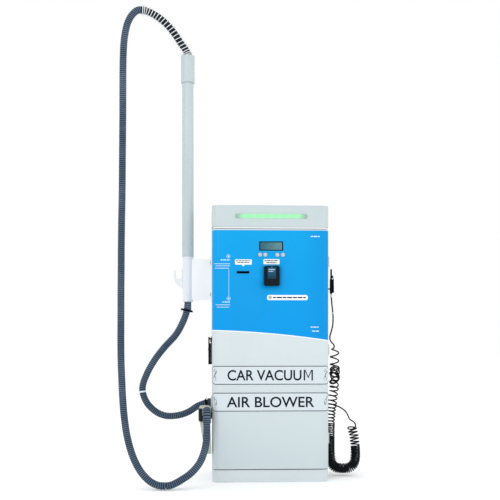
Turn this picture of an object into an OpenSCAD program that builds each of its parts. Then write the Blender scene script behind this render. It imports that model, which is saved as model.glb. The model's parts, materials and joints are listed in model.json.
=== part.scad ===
// Free-standing self-service station: vacuum cleaner and air blower.
// X to the right, Y to the back, Z up; the origin is on the floor under the
// centre of the cabinet. Millimetres.

/* [Cabinet] */
// Width of the cabinet
cab_w = 640; // [600:1:680]
// Depth of the cabinet
cab_d = 450; // [430:1:480]
// Height of the cabinet
cab_h = 1510; // [1500:1:1530]
// Height of the base frame
plinth_h = 64; // [50:1:80]
// Thickness of the sheet metal
sheet = 2; // [1.5:0.1:2.5]
// Radius of the vertical front corners
corner_r = 40; // [30:1:45]
// Depth of the door's folded side
door_side = 90; // [85:1:100]
// Height of the door's top edge
door_top = 1380; // [1370:1:1382]
// Height of the door's bottom edge
door_bottom = 72; // [68:1:76]

/* [Mast] */
// Sideways place of the mast
mast_x = -455; // [-460:1:-445]
// Front to back place of the mast
mast_y = -25; // [-30:1:-15]
// Outer radius of the fixed lower tube
spigot_r = 29.5; // [29:0.1:30]
// Outer radius of the swivelling upper tube
mast_r = 32.75; // [32.5:0.05:33.5]
// Height of the upper tube's lower end
mast_low = 1244; // [1240:1:1250]
// Height of the collar's lower end
collar_low = 2223; // [2210:1:2230]
// Height of the collar's top
collar_top = 2376; // [2376:1:2380]

/* [Hoses] */
// Radius of the suction hose
hose_r = 20; // [18:0.5:20]
// Radius of the air hose
air_r = 4; // [3:0.5:5]
// Outer radius of the coiled air hose
coil_r = 28.5; // [26:0.5:30]

/* [Controls] */
// Outer diameter of a push button's ring
button_ring = 22; // [20:1:24]
// Push button travel
button_travel = 2; // [1:0.5:3]

/* [Hidden] */

$fn = 48;
hw = cab_w / 2;
hd = cab_d / 2;
door_back = door_side - hd;          // rear edge of the door's folded sides
body_front = door_back + 2;          // front edge of the fixed walls
wall_low = plinth_h + 3;
header_low = door_top + 12;
hinge_x = hw + 6.5;
hinge_y = door_back + 1;
hinge_z = [230, 720, 1210];
button_x = [-58, -30, 36, 66];
button_z = 1240;
slot_c = [3.5, 1450.5];              // centre of the light strip
slot_w = 395;
slot_r = 11.5;
handle_y = -160;
handle_z = 775;                      // axis on which the door handle turns
lift_x = -336;
lift_z = 786;                        // axis on which the lever swings out
cam_throw = 18;
bar_travel = 2 * cam_throw * sin(45);
drum = [-120, 40];
drum_r = 145;
motor_low = 640;
bin_low = 88.3;
cup = [-358, -190];                  // axis of the nozzle holder
cuff = [-348, -266, 357];            // where the cuff starts to turn
cuff_r = 34;
gun = [349, -90];
bulkhead = [-60, 415];
outlet_z = 420;
bolt_y = [-58, 8];                   // bolts of the mast's bracket
bolt_z = [1030, 1208];
tank = [190, 80];
swing = 20;                          // the guide leans this far to the front

white = "whitesmoke";
dark = "dimgray";

// Stations of the suction hose, from the outlet to the foot of the mast
inlet_route = [[-320, -25, 420], [-350, -25, 420], [-400, -25, 402], [-450, -25, 370],
    [-510, -25, 350], [-580, -25, 348], [-640, -25, 375], [-690, -25, 430],
    [-710, -25, 503], [-686, -25, 582], [-642, -25, 661], [-587, -25, 733],
    [-523, -25, 804], [-483, -25, 876], [-461, -25, 939], [-455, -25, 995],
    [-455, -25, 1060], [-455, -25, 2378]];

// Stations of the guide above the collar: reach from the mast's axis, height
guide_route = [[0, 2379], [12, 2402], [40, 2442], [74, 2487], [113, 2529],
    [158, 2564], [203, 2587], [246, 2599], [275, 2600]];

// From the guide's end over the top and down to the floor
drop_route = [[-732, -126, 2594], [-750, -132, 2578], [-768, -139, 2552], [-785, -145, 2512],
    [-796, -150, 2460], [-803, -153, 2400], [-807, -154, 2300], [-808, -156, 2160],
    [-808, -158, 2020], [-809, -161, 1870], [-810, -164, 1720], [-811, -168, 1570],
    [-813, -174, 1430], [-814, -182, 1290], [-814, -191, 1150], [-814, -202, 1020],
    [-813, -215, 900], [-812, -232, 780], [-809, -252, 670], [-803, -276, 570],
    [-796, -302, 470], [-785, -332, 370], [-767, -364, 270], [-737, -396, 175],
    [-697, -422, 100], [-650, -441, 50], [-605, -450, 26], [-560, -452, 21]];

// From the floor up to the cuff on the parked nozzle
riser_route = [[-560, -452, 21], [-530, -450, 26], [-488, -439, 45], [-431, -422, 82],
    [-387, -395, 130], [-363, -358, 182], [-352, -320, 228], [-349, -288, 268], [-348, -271, 300],
    [-348, -266, 326], [-348, -266, 340], [-348, -266, 353]];

// Air hose, from the gun to its coil
gun_tail_route = [[349, -90, 1035.7], [351, -90, 1000], [355, -90, 960], [359, -88, 923],
    [361, -82, 885], [359, -72, 850], [353, -60, 820], [348, -48, 797], [350, -34, 778],
    [361, -16, 762], [374, 1, 751], [380, 8, 744], [381, 10, 738]];

// Middle of the coil, from its top down to the floor and up again
coil_route = [[379, 10, 740], [382, 10, 640], [382, 10, 560], [377, 10, 480], [367, 10, 400],
    [359, 10, 330], [356.5, 10, 260], [356, 10, 195], [356, 10, 130],
    [358, 10, 95], [366, 10, 66], [381, 10, 48], [402, 10, 40.5], [430, 10, 39.5],
    [458, 10, 40.5], [479, 10, 48], [494, 10, 66], [501.5, 10, 95], [503, 10, 130],
    [500, 10, 180], [492, 10, 235], [478, 10, 290]];

// Air hose, from its coil to the cabinet
wall_tail_route = [[478, 10, 286], [478, 14, 298], [475, 17, 312], [465, 14, 331], [455, 6, 350],
    [442, -6, 368], [423, -17, 383], [400, -29, 396], [375, -43, 407], [352, -55, 413.5],
    [340, -59, 415], [332, -60, 415]];

// ---- helpers ----

// Outline with rounded front corners, w wide, d deep, front and back about y = 0
module front_outline(w, d, r) {
    translate([-w / 2, -d / 2 + r]) square([w, d - r]);
    translate([-w / 2 + r, -d / 2]) square([w - 2 * r, d]);
    for (s = [-1, 1]) translate([s * (w / 2 - r), -d / 2 + r]) circle(r);
}

module round_rect(w, h, r) {
    square([w - 2 * r, h], center = true);
    square([w, h - 2 * r], center = true);
    for (sx = [-1, 1], sy = [-1, 1])
        translate([sx * (w / 2 - r), sy * (h / 2 - r)]) circle(r);
}

module stadium(w, r) {
    square([w - 2 * r, 2 * r], center = true);
    for (s = [-1, 1]) translate([s * (w / 2 - r), 0]) circle(r);
}

// Box from its lowest to its highest corner
module block(a, b) {
    translate(a) cube(b - a);
}

// Cylinder whose axis points along +X or +Y from point p
module rod_x(p, r, h) {
    translate(p) rotate([0, 90, 0]) cylinder(r = r, h = h);
}

module rod_y(p, r, h) {
    translate(p) rotate([-90, 0, 0]) cylinder(r = r, h = h);
}

// Plate standing in the XZ plane, its outline drawn with Z up, from y0 to y1
module upright(y0, y1) {
    translate([0, y1, 0]) rotate([90, 0, 0]) linear_extrude(y1 - y0) children();
}

function unit(v) = v / norm(v);
function heading(p, i) = unit(p[min(i + 1, len(p) - 1)] - p[max(i - 1, 0)]);
function side_of(t) = unit(abs(t[1]) < 0.95 ? cross(t, [0, 1, 0]) : cross(t, [1, 0, 0]));

// One ring of points round station i of route p
function ring(p, i, r, n) =
    let (t = heading(p, i), u = side_of(t), v = cross(t, u))
    [for (k = [0:n - 1]) p[i] + r * (cos(360 * k / n) * u + sin(360 * k / n) * v)];

// Tube of radius r swept along the stations of route p
module tube(p, r, n) {
    m = len(p);
    points = [for (i = [0:m - 1]) each ring(p, i, r, n)];
    sides = [for (i = [0:m - 2], k = [0:n - 1])
        [i * n + k, i * n + (k + 1) % n, (i + 1) * n + (k + 1) % n, (i + 1) * n + k]];
    polyhedron(points, concat([[for (k = [n - 1:-1:0]) k]], sides,
        [[for (k = [0:n - 1]) (m - 1) * n + k]]), convexity = 10);
}

// Point at share s of a route, on a smooth curve through its stations
function spline(a, b, c, d, t) =
    0.5 * (2 * b + (c - a) * t + (2 * a - 5 * b + 4 * c - d) * t * t
    + (3 * b - 3 * c + d - a) * t * t * t);
function along(p, s) =
    let (n = len(p) - 1, x = min(s, 0.99999) * n, i = floor(x))
    spline(p[max(i - 1, 0)], p[i], p[i + 1], p[min(i + 2, n)], x - i);

// ---- cabinet body ----

module plinth() color(white) difference() {
    linear_extrude(plinth_h) front_outline(cab_w - 4, cab_d - 4, corner_r - 2);
    translate([0, 0, 3]) linear_extrude(plinth_h)
        front_outline(cab_w - 10, cab_d - 10, corner_r - 5);
    block([-258, -163, -1], [258, 163, 10]);
    for (sx = [-1, 1], sy = [-1, 1])
        translate([sx * 288, sy * 193, -1]) cylinder(r = 7, h = 10);
}

// Floor of the cabinet, with the two rails that carry the dust bin
module floor_pan() color(white) difference() {
    union() {
        translate([0, 0, plinth_h]) linear_extrude(3)
            front_outline(cab_w - 4, cab_d - 4, corner_r - 2);
        for (x = [-268, 25]) block([x, -118, wall_low - 1], [x + 8, 195, bin_low - 0.3]);
    }
    translate([200, -100, plinth_h - 1]) cylinder(r = 30, h = 5);
}

// Right-hand wall with its front jamb and rear flange; the left one is its mirror
module wall() {
    block([hw - sheet, body_front, wall_low], [hw, hd - sheet, header_low]);
    block([hw - 35, body_front, wall_low], [hw - sheet, body_front + sheet, header_low]);
    block([hw - 30, hd - 2 * sheet, wall_low], [hw - sheet, hd - sheet, header_low]);
}

module left_wall() color(white) difference() {
    mirror([1, 0, 0]) wall();
    rod_x([-hw - 5, mast_y, outlet_z], 26, 20);
    for (z = bolt_z, y = bolt_y) rod_x([-hw - 5, y, z], 5.5, 20);
}

module right_wall() color(white) difference() {
    wall();
    rod_x([hw - 10, bulkhead[0], bulkhead[1]], 9.5, 20);
    for (k = [0:9]) block([hw - 5, 60, 560 + 16 * k], [hw + 5, 180, 567 + 16 * k]);
}

module rear_panel() color(white) difference() {
    block([-hw, hd - sheet, wall_low], [hw, hd, header_low]);
    for (k = [0:9], x = [-220, 60]) block([x, hd - 5, 1150 + 18 * k], [x + 160, hd + 5, 1158 + 18 * k]);
    for (k = [0:7]) block([-200, hd - 5, 690 + 18 * k], [-40, hd + 5, 698 + 18 * k]);
}

module header() color(white) difference() {
    translate([0, 0, header_low]) linear_extrude(cab_h - header_low)
        front_outline(cab_w, cab_d, corner_r);
    translate([0, 0, header_low - 1]) linear_extrude(cab_h - header_low - 1)
        front_outline(cab_w - 4, cab_d - 4, corner_r - 2);
    upright(-hd - 5, -hd + 10) translate(slot_c) stadium(slot_w, slot_r);
}

module led_diffuser() color("palegreen")
    upright(-hd - 2, -hd + sheet) translate(slot_c) stadium(slot_w - 0.6, slot_r - 0.3);

module panel_screws() color("silver") {
    for (x = [-305, 0, 305], z = [90, 500, 900, 1370])
        if (abs(x) > 1 || z < 100 || z > 1300) rod_y([x, hd, z], 6, 3.5);
    for (z = bolt_z, y = bolt_y) {
        rod_x([-hw - 9, y, z], 9, 5);
        rod_x([-hw - 9, y, z], 5.2, 16);
    }
}

module body_hinges() color("silver") for (z = hinge_z) {
    translate([hinge_x, hinge_y, z - 30]) cylinder(r = 6, h = 29.5);
    translate([hinge_x, hinge_y, z - 5]) cylinder(r = 3, h = 34);
    block([hw, hinge_y + 2, z - 30], [hw + 2.5, hinge_y + 38, z - 0.5]);
    block([hw, hinge_y + 7, z - 0.5], [hw + 2.5, hinge_y + 38, z + 30]);
    block([hw + 0.8, hinge_y, z - 30], [hw + 2.5, hinge_y + 3, z - 0.5]);
}

// ---- inside ----

module equipment_shelf() color("silver") {
    block([-hw + sheet, -125, 850], [hw - sheet, hd - 2 * sheet, 853]);
    block([-hw + sheet, -125, 825], [hw - sheet, -122, 850]);
}

module separator_drum() color("lightgray") translate([drum[0], drum[1], 0]) difference() {
    union() {
        translate([0, 0, 336]) cylinder(r = drum_r, h = 304);
        translate([0, 0, 336]) cylinder(r = drum_r + 10, h = 4);
        block([-hw + sheet - drum[0], -115 - drum[1], 336],
            [60 - drum[0], hd - 2 * sheet - drum[1], 339]);
    }
    translate([0, 0, 330]) cylinder(r = drum_r - 3, h = 307);
    translate([0, 0, 600]) cylinder(r = 40, h = 60);
    rod_x([-drum_r - 20, mast_y - drum[1], outlet_z], 24.3, 60);
}

module filter_cartridge() color("ivory") translate([drum[0], drum[1], 460]) difference() {
    cylinder(r = 95, h = 177);
    translate([0, 0, 6]) cylinder(r = 60, h = 180);
}

module suction_pipe() color("gray") difference() {
    rod_x([-hw + 1, mast_y, outlet_z], 24, 80);
    rod_x([-hw, mast_y, outlet_z], 20.5, 90);
    translate([drum[0], drum[1], outlet_z - 50]) cylinder(r = drum_r - 12, h = 100);
}

module vacuum_motor() color("gray") translate([drum[0], drum[1], motor_low]) difference() {
    union() {
        cylinder(r = 78, h = 120);
        translate([0, 0, 120]) cylinder(r = 40, h = 40);
    }
    translate([0, 0, 4]) cylinder(r = 73, h = 60);
    translate([0, 0, -1]) cylinder(r = 30, h = 10);
    cylinder(r = 5.05, h = 155);
}

module vacuum_fan() color("silver") translate([drum[0], drum[1], motor_low]) {
    translate([0, 0, 20]) cylinder(r = 5, h = 130);
    difference() {
        translate([0, 0, 24]) cylinder(r = 68, h = 24);
        translate([0, 0, 28]) difference() {
            cylinder(r = 64, h = 16);
            translate([0, 0, -1]) cylinder(r = 12, h = 20);
            for (k = [0:7]) rotate(45 * k) block([10, -1.5, -1], [70, 1.5, 20]);
        }
        translate([0, 0, 20]) difference() {
            cylinder(r = 28, h = 9);
            translate([0, 0, -1]) cylinder(r = 12, h = 20);
        }
    }
}

module compressor() color("slategray") {
    for (x = [70, 250], y = [-30, 110]) translate([x, y, 853]) cylinder(r = 14, h = 18);
    block([50, -50, 871], [275, 135, 877]);
    difference() {
        union() {
            rod_x([95, 40, 945], 62, 130);
            block([110, -10, 877], [210, 90, 900]);
            block([150, 5, 990], [215, 75, 1080]);
        }
        rod_x([80, 40, 945], 5.05, 100);
    }
}

module compressor_fan() color("silver") {
    rod_x([62, 40, 945], 5, 100);
    rod_x([64, 40, 945], 20, 20);
    for (k = [0:5]) translate([74, 40, 945]) rotate([60 * k, 0, 0]) rotate([0, 0, 30])
        block([-1.5, -9, 15], [1.5, 9, 58]);
}

module air_receiver() color("slategray") translate([tank[0], tank[1], 0]) {
    rotate_extrude() polygon([[0, 110], [60, 118], [90, 142], [95, 165], [95, 475],
        [90, 498], [60, 522], [0, 530]]);
    difference() {
        translate([0, 0, wall_low]) cylinder(r = 80, h = 70);
        translate([0, 0, wall_low - 1]) cylinder(r = 76, h = 80);
    }
}

module pressure_regulator() color("gray") {
    translate([190, 0, 0]) {
        rod_y([0, -85, 640], 14, 50);
        difference() {
            translate([0, -60, 600]) cylinder(r = 26, h = 75);
            translate([0, -60, 655]) cylinder(r = 5.05, h = 30);
        }
        translate([0, -60, 560]) cylinder(r = 20, h = 40);
        rod_y([0, -98, 640], 24, 13);
        block([20, -70, 612], [128, -50, 618]);
        block([125, -80, 595], [128, -40, 635]);
    }
}

module regulator_knob() color("black") translate([190, -60, 0]) {
    translate([0, 0, 675.5]) cylinder(r = 21, h = 28);
    translate([0, 0, 660]) cylinder(r = 5, h = 16);
}

module mounting_plate() color("silver") {
    block([-300, 214, 900], [20, 217, 1320]);
    for (x = [-270, 10], z = [910, 1310]) rod_y([x, 217, z], 5, 6);
    for (z = [1010, 1200]) block([-280, 206, z - 17], [0, 214, z + 17]);
}

module circuit_breaker() color("gainsboro") difference() {
    block([-270, 140, 1160], [-216, 206, 1240]);
    block([-262, 130, 1185], [-224, 144, 1215]);
    rod_x([-280, 150, 1200], 3.05, 70);
    block([-258, 139, 1192], [-228, 160, 1208]);
}

module breaker_toggle() color("black") {
    rod_x([-268, 150, 1200], 3, 50);
    rod_x([-257, 150, 1200], 6, 28);
    block([-257, 128, 1197], [-229, 150, 1201]);
}

// Power supply above, controller and terminal blocks below
module control_modules() color("silver") {
    block([-190, 120, 1140], [-80, 206, 1260]);
    block([-270, 120, 950], [-120, 206, 1070]);
    for (k = [0:11]) block([-105 + 8 * k, 165, 985], [-99 + 8 * k, 206, 1035]);
}

module dust_bin() color("dimgray") {
    difference() {
        block([-280, -118, bin_low], [45, 195, 326]);
        block([-277, -115, bin_low + 3], [42, 192, 330]);
    }
    difference() {
        block([-180, -140, 230], [-60, -118, 242]);
        block([-168, -131, 225], [-72, -118.5, 250]);
    }
}

// ---- mast ----

module mast_bracket() color(white) {
    difference() {
        block([-hw - 4, -70, 994], [-hw, 20, 1244]);
        for (z = bolt_z, y = bolt_y) rod_x([-hw - 5, y, z], 5.5, 20);
    }
    difference() {
        block([mast_x + 20, -45, 1000], [-hw - 4, -5, 1230]);
        block([mast_x + 10, -42, 1003], [-hw - 4, 0, 1227]);
        translate([mast_x, mast_y, 990]) cylinder(r = spigot_r + 0.1, h = 260);
    }
}

module mast_spigot() color(white) translate([mast_x, mast_y, 0]) difference() {
    union() {
        translate([0, 0, 990]) cylinder(r = spigot_r, h = 410);
        translate([0, 0, mast_low - 12]) cylinder(r = mast_r - 1, h = 11.5);
    }
    translate([0, 0, 980]) cylinder(r = spigot_r - 3, h = 430);
}

module hose_hook() color(white) translate([mast_x - spigot_r, mast_y - 3, 0]) difference() {
    upright(0, 6) polygon([[1, 1064], [-22, 1078], [-42, 1100], [-50, 1124], [-50, 1166], [-44, 1172],
        [-38, 1166], [-36, 1130], [-28, 1120], [-14, 1120], [-6, 1130], [-4, 1172], [1, 1176]]);
    translate([spigot_r, 3, 1050]) cylinder(r = spigot_r + 0.05, h = 140);
}

module mast_tube() color(white) translate([mast_x, mast_y, mast_low]) difference() {
    cylinder(r = mast_r, h = 2300 - mast_low);
    translate([0, 0, -1]) cylinder(r = spigot_r + 0.05, h = 1100);
}

module mast_collar() color(white) translate([mast_x, mast_y, 0]) difference() {
    translate([0, 0, collar_low]) cylinder(r = mast_r + 6.8, h = collar_top - collar_low);
    translate([0, 0, collar_low - 1]) cylinder(r = mast_r + 0.05, h = 2301 - collar_low);
    translate([0, 0, 2290]) cylinder(r = 25, h = 100);
}

// Station of the guide's wire at share s, on a helix about the guide's own axis
guide_turns = 20;
wire_r = 2.25;
function guide_point(s) =
    let (c = along(guide_route, s), d = unit(along(guide_route, s + 0.004) - c),
        a = 360 * guide_turns * s, r = 29.5)
    [-c[0] + r * cos(a) * -d[1], r * sin(a), c[1] + r * cos(a) * -d[0]];

module spring_guide() color("silver") translate([mast_x, mast_y, 0]) rotate(swing)
    tube([for (k = [0:10 * guide_turns]) guide_point(k / (10 * guide_turns + 3))], wire_r, 5);

module outlet_flange() color(dark) difference() {
    union() {
        rod_x([-hw - 5, mast_y, outlet_z], 40, 5);
        rod_x([-hw - 24, mast_y, outlet_z], 26, 24);
        rod_x([-hw - 24, mast_y, outlet_z], 25.5, 25);
    }
    rod_x([-hw - 30, mast_y, outlet_z], hose_r + 0.3, 60);
}

module hose_inlet() color("slategray") tube(inlet_route, hose_r, 10);

// Place of a station of the guide, turned to where the guide leans
function leaning(g) = [mast_x - g[0] * cos(swing), mast_y - g[0] * sin(swing), g[1]];

module hose_drop() color("slategray") tube(concat([leaning([0, 2378.5])],
    [for (g = guide_route) leaning([g[0], g[1] + 9 * (1 - min(g[0], 40) / 40)])],
    drop_route), hose_r, 10);

module hose_riser() color("slategray") tube(riser_route, hose_r, 10);

// ---- nozzle ----

// Open ring; the gap faces the cabinet, so that the nozzle's offset mouth passes it
module nozzle_holder() color("black") difference() {
    union() {
        translate([cup[0], cup[1], 332]) cylinder(r = 36, h = 70);
        block([cup[0] + 5, cup[1] + 15, 345], [-hw - 4.5, -134, 391]);
        block([-hw - 12, -140, 345], [-hw - 4, -90, 391]);
        block([-hw - 4, -130, 338], [-hw, -90, 398]);
    }
    translate([cup[0], cup[1], 330]) cylinder(r = 31, h = 80);
    block([cup[0], cup[1] - 27.5, 330], [-hw + 5, cup[1] + 27.5, 410]);
    block([cuff[0] - 27, cup[1] - 40, 364], [cuff[0] + 27, cup[1] - 12, 410]);
}

module nozzle() color("wheat") difference() {
    union() {
        translate([cup[0], cup[1], 331]) cylinder(r = 30, h = 81);
        translate([cup[0], cup[1], 412]) cylinder(r1 = 30, r2 = 26, h = 4);
        difference() {
            translate([cup[0], cup[1], 402.4]) cylinder(r = 35, h = 2.6);
            block([cuff[0] - 24, cup[1] - 40, 400], [cuff[0] + 24, cup[1] - 20, 410]);
        }
        rod_y([cuff[0], cup[1] - 36, cuff[2] + cuff_r], 24.6, 20);
        hull() {
            translate([cup[0], cup[1], 326]) cylinder(r = 28, h = 6, $fn = 32);
            translate([-342, cup[1], 156]) linear_extrude(2) round_rect(36, 52, 8, $fn = 32);
        }
    }
    hull() {
        translate([cup[0], cup[1], 326]) cylinder(r = 25, h = 6, $fn = 32);
        translate([-342, cup[1], 150]) linear_extrude(2) round_rect(31, 47, 6, $fn = 32);
    }
    translate([cup[0], cup[1], 331]) cylinder(r = 25, h = 81);
    rod_y([cuff[0], cup[1] - 40, cuff[2] + cuff_r], 22.3, 30);
}

// Elbow between the hose and the nozzle's neck
module hose_cuff() color("slategray") translate(cuff) {
    difference() {
        union() {
            translate([0, cuff_r, 0]) rotate([90, 0, 90]) rotate(90) rotate_extrude(angle = 90)
                translate([cuff_r, 0]) circle(22);
            rod_y([0, cuff_r - 0.5, cuff_r], 22, 16.5);
        }
        translate([0, cuff_r, 0]) rotate([90, 0, 90]) rotate_extrude(angle = 360)
            translate([cuff_r, 0]) circle(17);
        rod_y([0, cuff_r - 1, cuff_r], 17, 20);
    }
    translate([0, 0, -28]) difference() {
        cylinder(r = 24.5, h = 28.5);
        translate([0, 0, -1]) cylinder(r = hose_r + 0.4, h = 25.5);
        cylinder(r = 17, h = 40);
    }
}

// ---- air gun ----

module gun_holder() color("silver") {
    block([hw, gun[1] - 22, 1030], [hw + 3, gun[1] + 22, 1110]);
    for (s = [-1, 1]) block([hw + 3, gun[1] + (s > 0 ? 12.5 : -17.5), 1058],
        [gun[0] + 9, gun[1] + (s > 0 ? 17.5 : -12.5), 1064]);
    for (z = [1040, 1098]) rod_x([hw + 3, gun[1], z], 4, 2.5);
}

module air_gun() color("black") translate([gun[0], gun[1], 0]) difference() {
    union() {
        translate([0, 0, 1036]) cylinder(r = 8, h = 76);
        block([-7, -17, 1064.4], [0, 17, 1069.4]);
        translate([0, 0, 1112]) cylinder(r1 = 8, r2 = 5, h = 10, $fn = 32);
        translate([0, 0, 1122]) cylinder(r = 5, h = 50);
        for (s = [-1, 1]) block([2, s * 5 - 1.3, 1124], [11.5, s * 5 + 1.3, 1136]);
    }
    translate([0, 0, 1125]) cylinder(r = 2, h = 50);
    rod_y([8, -12, 1130], 1.6, 24);
}

// Channel lever, which straddles the grip
module gun_trigger() color("gray") translate([gun[0], gun[1], 0]) {
    rod_y([8, -8, 1130], 1.55, 16);
    hull() {
        rod_y([8, -3.3, 1130], 2.5, 6.6, $fn = 24);
        rod_y([13, -3.3, 1116], 1.2, 6.6, $fn = 24);
    }
    difference() {
        upright(-9.8, 9.8) polygon([[6, 1108], [12, 1118], [14.2, 1118], [15.2, 1040], [6, 1040]]);
        upright(-8.6, 8.6) polygon([[4, 1130], [12.8, 1130], [12.8, 1110], [13.8, 1030], [4, 1030]]);
    }
}

module air_bulkhead() color("goldenrod") difference() {
    union() {
        rod_x([hw - 16, bulkhead[0], bulkhead[1]], 9, 16);
        rod_x([hw, bulkhead[0], bulkhead[1]], 13, 5);
        rod_x([hw + 5, bulkhead[0], bulkhead[1]], 8, 7);
    }
    rod_x([hw - 20, bulkhead[0], bulkhead[1]], 3, 40);
}

module air_hose() color("black") {
    tube(gun_tail_route, air_r, 8);
    tube(wall_tail_route, air_r, 8);
}

module air_coil() color("black") tube(coil_route, coil_r, 16);

// ---- door ----

module door_panel() color("dodgerblue") difference() {
    intersection() {
        translate([0, 0, door_bottom]) linear_extrude(door_top - door_bottom)
            front_outline(cab_w, cab_d, corner_r);
        block([-hw - 1, -hd - 1, 0], [hw + 1, door_back, cab_h]);
    }
    translate([0, 0, door_bottom + sheet]) linear_extrude(door_top - door_bottom - 2 * sheet)
        intersection() {
            front_outline(cab_w - 2 * sheet, cab_d - 2 * sheet, corner_r - sheet);
            translate([-hw, -hd]) square([cab_w, door_side - sheet]);
        }
    block([-hw + 14, door_back - 10, door_bottom + 14], [hw - 14, door_back + 10, door_top - 14]);
    block([-59, -hd - 5, 1266], [64, -hd + 5, 1309]);
    for (x = button_x) rod_y([x, -hd - 5, button_z], 9.5, 20);
    block([-28, -hd - 5, 1080], [38, -hd + 5, 1168]);
    block([-185, -hd - 5, 1138], [-117, -hd + 5, 1150]);
    rod_x([-hw - 5, handle_y, handle_z], 8.6, 20);
}

module door_hinges() color("silver") for (z = hinge_z) {
    difference() {
        translate([hinge_x, hinge_y, z + 0.5]) cylinder(r = 6, h = 29.5);
        translate([hinge_x, hinge_y, z - 1]) cylinder(r = 3.05, h = 40);
    }
    block([hw, hinge_y - 38, z + 0.5], [hw + 2.5, hinge_y - 5, z + 30]);
    block([hw + 0.8, hinge_y - 5.5, z + 0.5], [hw + 3, hinge_y - 3.2, z + 30]);
    block([hw, hinge_y - 38, z - 30], [hw + 2.5, hinge_y - 7, z + 0.5]);
}

module door_seal() color("black") difference() {
    block([-hw + 3, door_back, door_bottom + 3], [hw - 3, door_back + 1.5, door_top - 3]);
    block([-hw + 13, door_back - 1, door_bottom + 13], [hw - 13, door_back + 3, door_top - 13]);
}

module name_plates() color("gainsboro") for (z = [387, 533])
    translate([0, 0, z]) linear_extrude(101) difference() {
        intersection() {
            front_outline(cab_w + 3, cab_d + 3, corner_r + 1.5);
            translate([-hw, -hd - 2]) square([cab_w, 26]);
        }
        front_outline(cab_w, cab_d, corner_r);
    }

module display_window() color("darkseagreen") {
    block([-59, -hd - 0.5, 1266], [64, -hd + sheet, 1309]);
    block([-66, -hd + sheet, 1258], [71, -hd + 14, 1317]);
}

module button_rings() color("silver") for (x = button_x) difference() {
    union() {
        rod_y([x, -hd - 3, button_z], button_ring / 2, 3);
        rod_y([x, -hd, button_z], 9.4, 22);
    }
    rod_y([x, -hd - 5, button_z], 8.25, 40);
}

module button(k) color("silver") {
    rod_y([button_x[k], -hd - 5.5, button_z], 8.2, 24);
}

module button_1() button(0);
module button_2() button(1);
module button_3() button(2);
module button_4() button(3);

module payment_terminal() color("black") {
    difference() {
        upright(-hd - 20, -hd) translate([4.75, 1124]) round_rect(84.5, 108, 9);
        block([-19, -hd - 25, 1107], [28, -hd - 18.5, 1169]);
    }
    block([-27, -hd, 1081], [37, -hd + 35, 1167]);
}

module card_slot() color("black") difference() {
    union() {
        block([-184, -hd - 2.5, 1139], [-118, -hd + sheet, 1149]);
        block([-190, -hd + sheet, 1125], [-112, -hd + 75, 1160]);
    }
    block([-180, -hd - 5, 1141], [-122, -hd + 60, 1147]);
}

module handle_base() color("black") difference() {
    translate([-hw, handle_y, 719]) rotate([0, -90, 0]) linear_extrude(4) round_rect(152, 36, 8);
    rod_x([-hw - 10, handle_y, handle_z], 8.05, 20);
}

module handle_boss() color("silver") {
    rod_x([-hw - 6, handle_y, handle_z], 8, 25);
    rod_x([-hw - 9, handle_y, handle_z], 13, 4.7);
    translate([-hw, handle_y, handle_z]) rotate([-45, 0, 0]) {
        block([8, -7, -6], [12, cam_throw + 4, 6]);
        rod_x([3.5, cam_throw, 0], 3, 6);
    }
    block([lift_x + 1, handle_y - 3.8, lift_z - 8], [-hw - 7, handle_y + 3.8, lift_z + 1]);
    rod_y([lift_x, handle_y - 4, lift_z], 4.5, 8);
    rod_y([lift_x, handle_y - 10, lift_z], 2, 20);
}

module handle_lever() color("black") difference() {
    union() {
        block([-hw - 20, handle_y - 11, 652], [-hw - 4.6, handle_y + 11, 758]);
        block([-hw - 20, handle_y - 11, 757], [-hw - 12.4, handle_y + 11, 792]);
        rod_x([-hw - 20, handle_y, 652], 11, 15.4);
        rod_x([-hw - 21.5, handle_y, 724], 5.5, 3);
    }
    block([-hw - 30, handle_y - 4.4, 770], [-hw - 5, handle_y + 4.4, 800]);
    rod_y([lift_x, handle_y - 20, lift_z], 2.05, 40);
}

module lock_bar() color("silver") difference() {
    block([-hw + 3.4, -182, 120], [-hw + 6.8, -141, 1330]);
    block([-hw, handle_y - 9, handle_z - 9 - bar_travel - 0.5], [-hw + 10, handle_y + 9, handle_z + 9]);
    block([-hw, handle_y + 7, handle_z - cam_throw * sin(45) - 4.2],
        [-hw + 10, -130, handle_z - cam_throw * sin(45) + 4.2]);
}

plinth();
floor_pan();
left_wall();
right_wall();
rear_panel();
header();
led_diffuser();
equipment_shelf();
separator_drum();
filter_cartridge();
suction_pipe();
vacuum_motor();
vacuum_fan();
compressor();
compressor_fan();
air_receiver();
pressure_regulator();
regulator_knob();
mounting_plate();
circuit_breaker();
breaker_toggle();
control_modules();
dust_bin();
mast_bracket();
mast_spigot();
hose_hook();
mast_tube();
mast_collar();
spring_guide();
outlet_flange();
hose_inlet();
hose_drop();
hose_riser();
nozzle_holder();
nozzle();
hose_cuff();
gun_holder();
air_gun();
gun_trigger();
air_bulkhead();
air_hose();
air_coil();
body_hinges();
panel_screws();
door_panel();
door_hinges();
door_seal();
name_plates();
display_window();
button_rings();
button_1();
button_2();
button_3();
button_4();
payment_terminal();
card_slot();
handle_base();
handle_boss();
handle_lever();
lock_bar();
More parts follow.
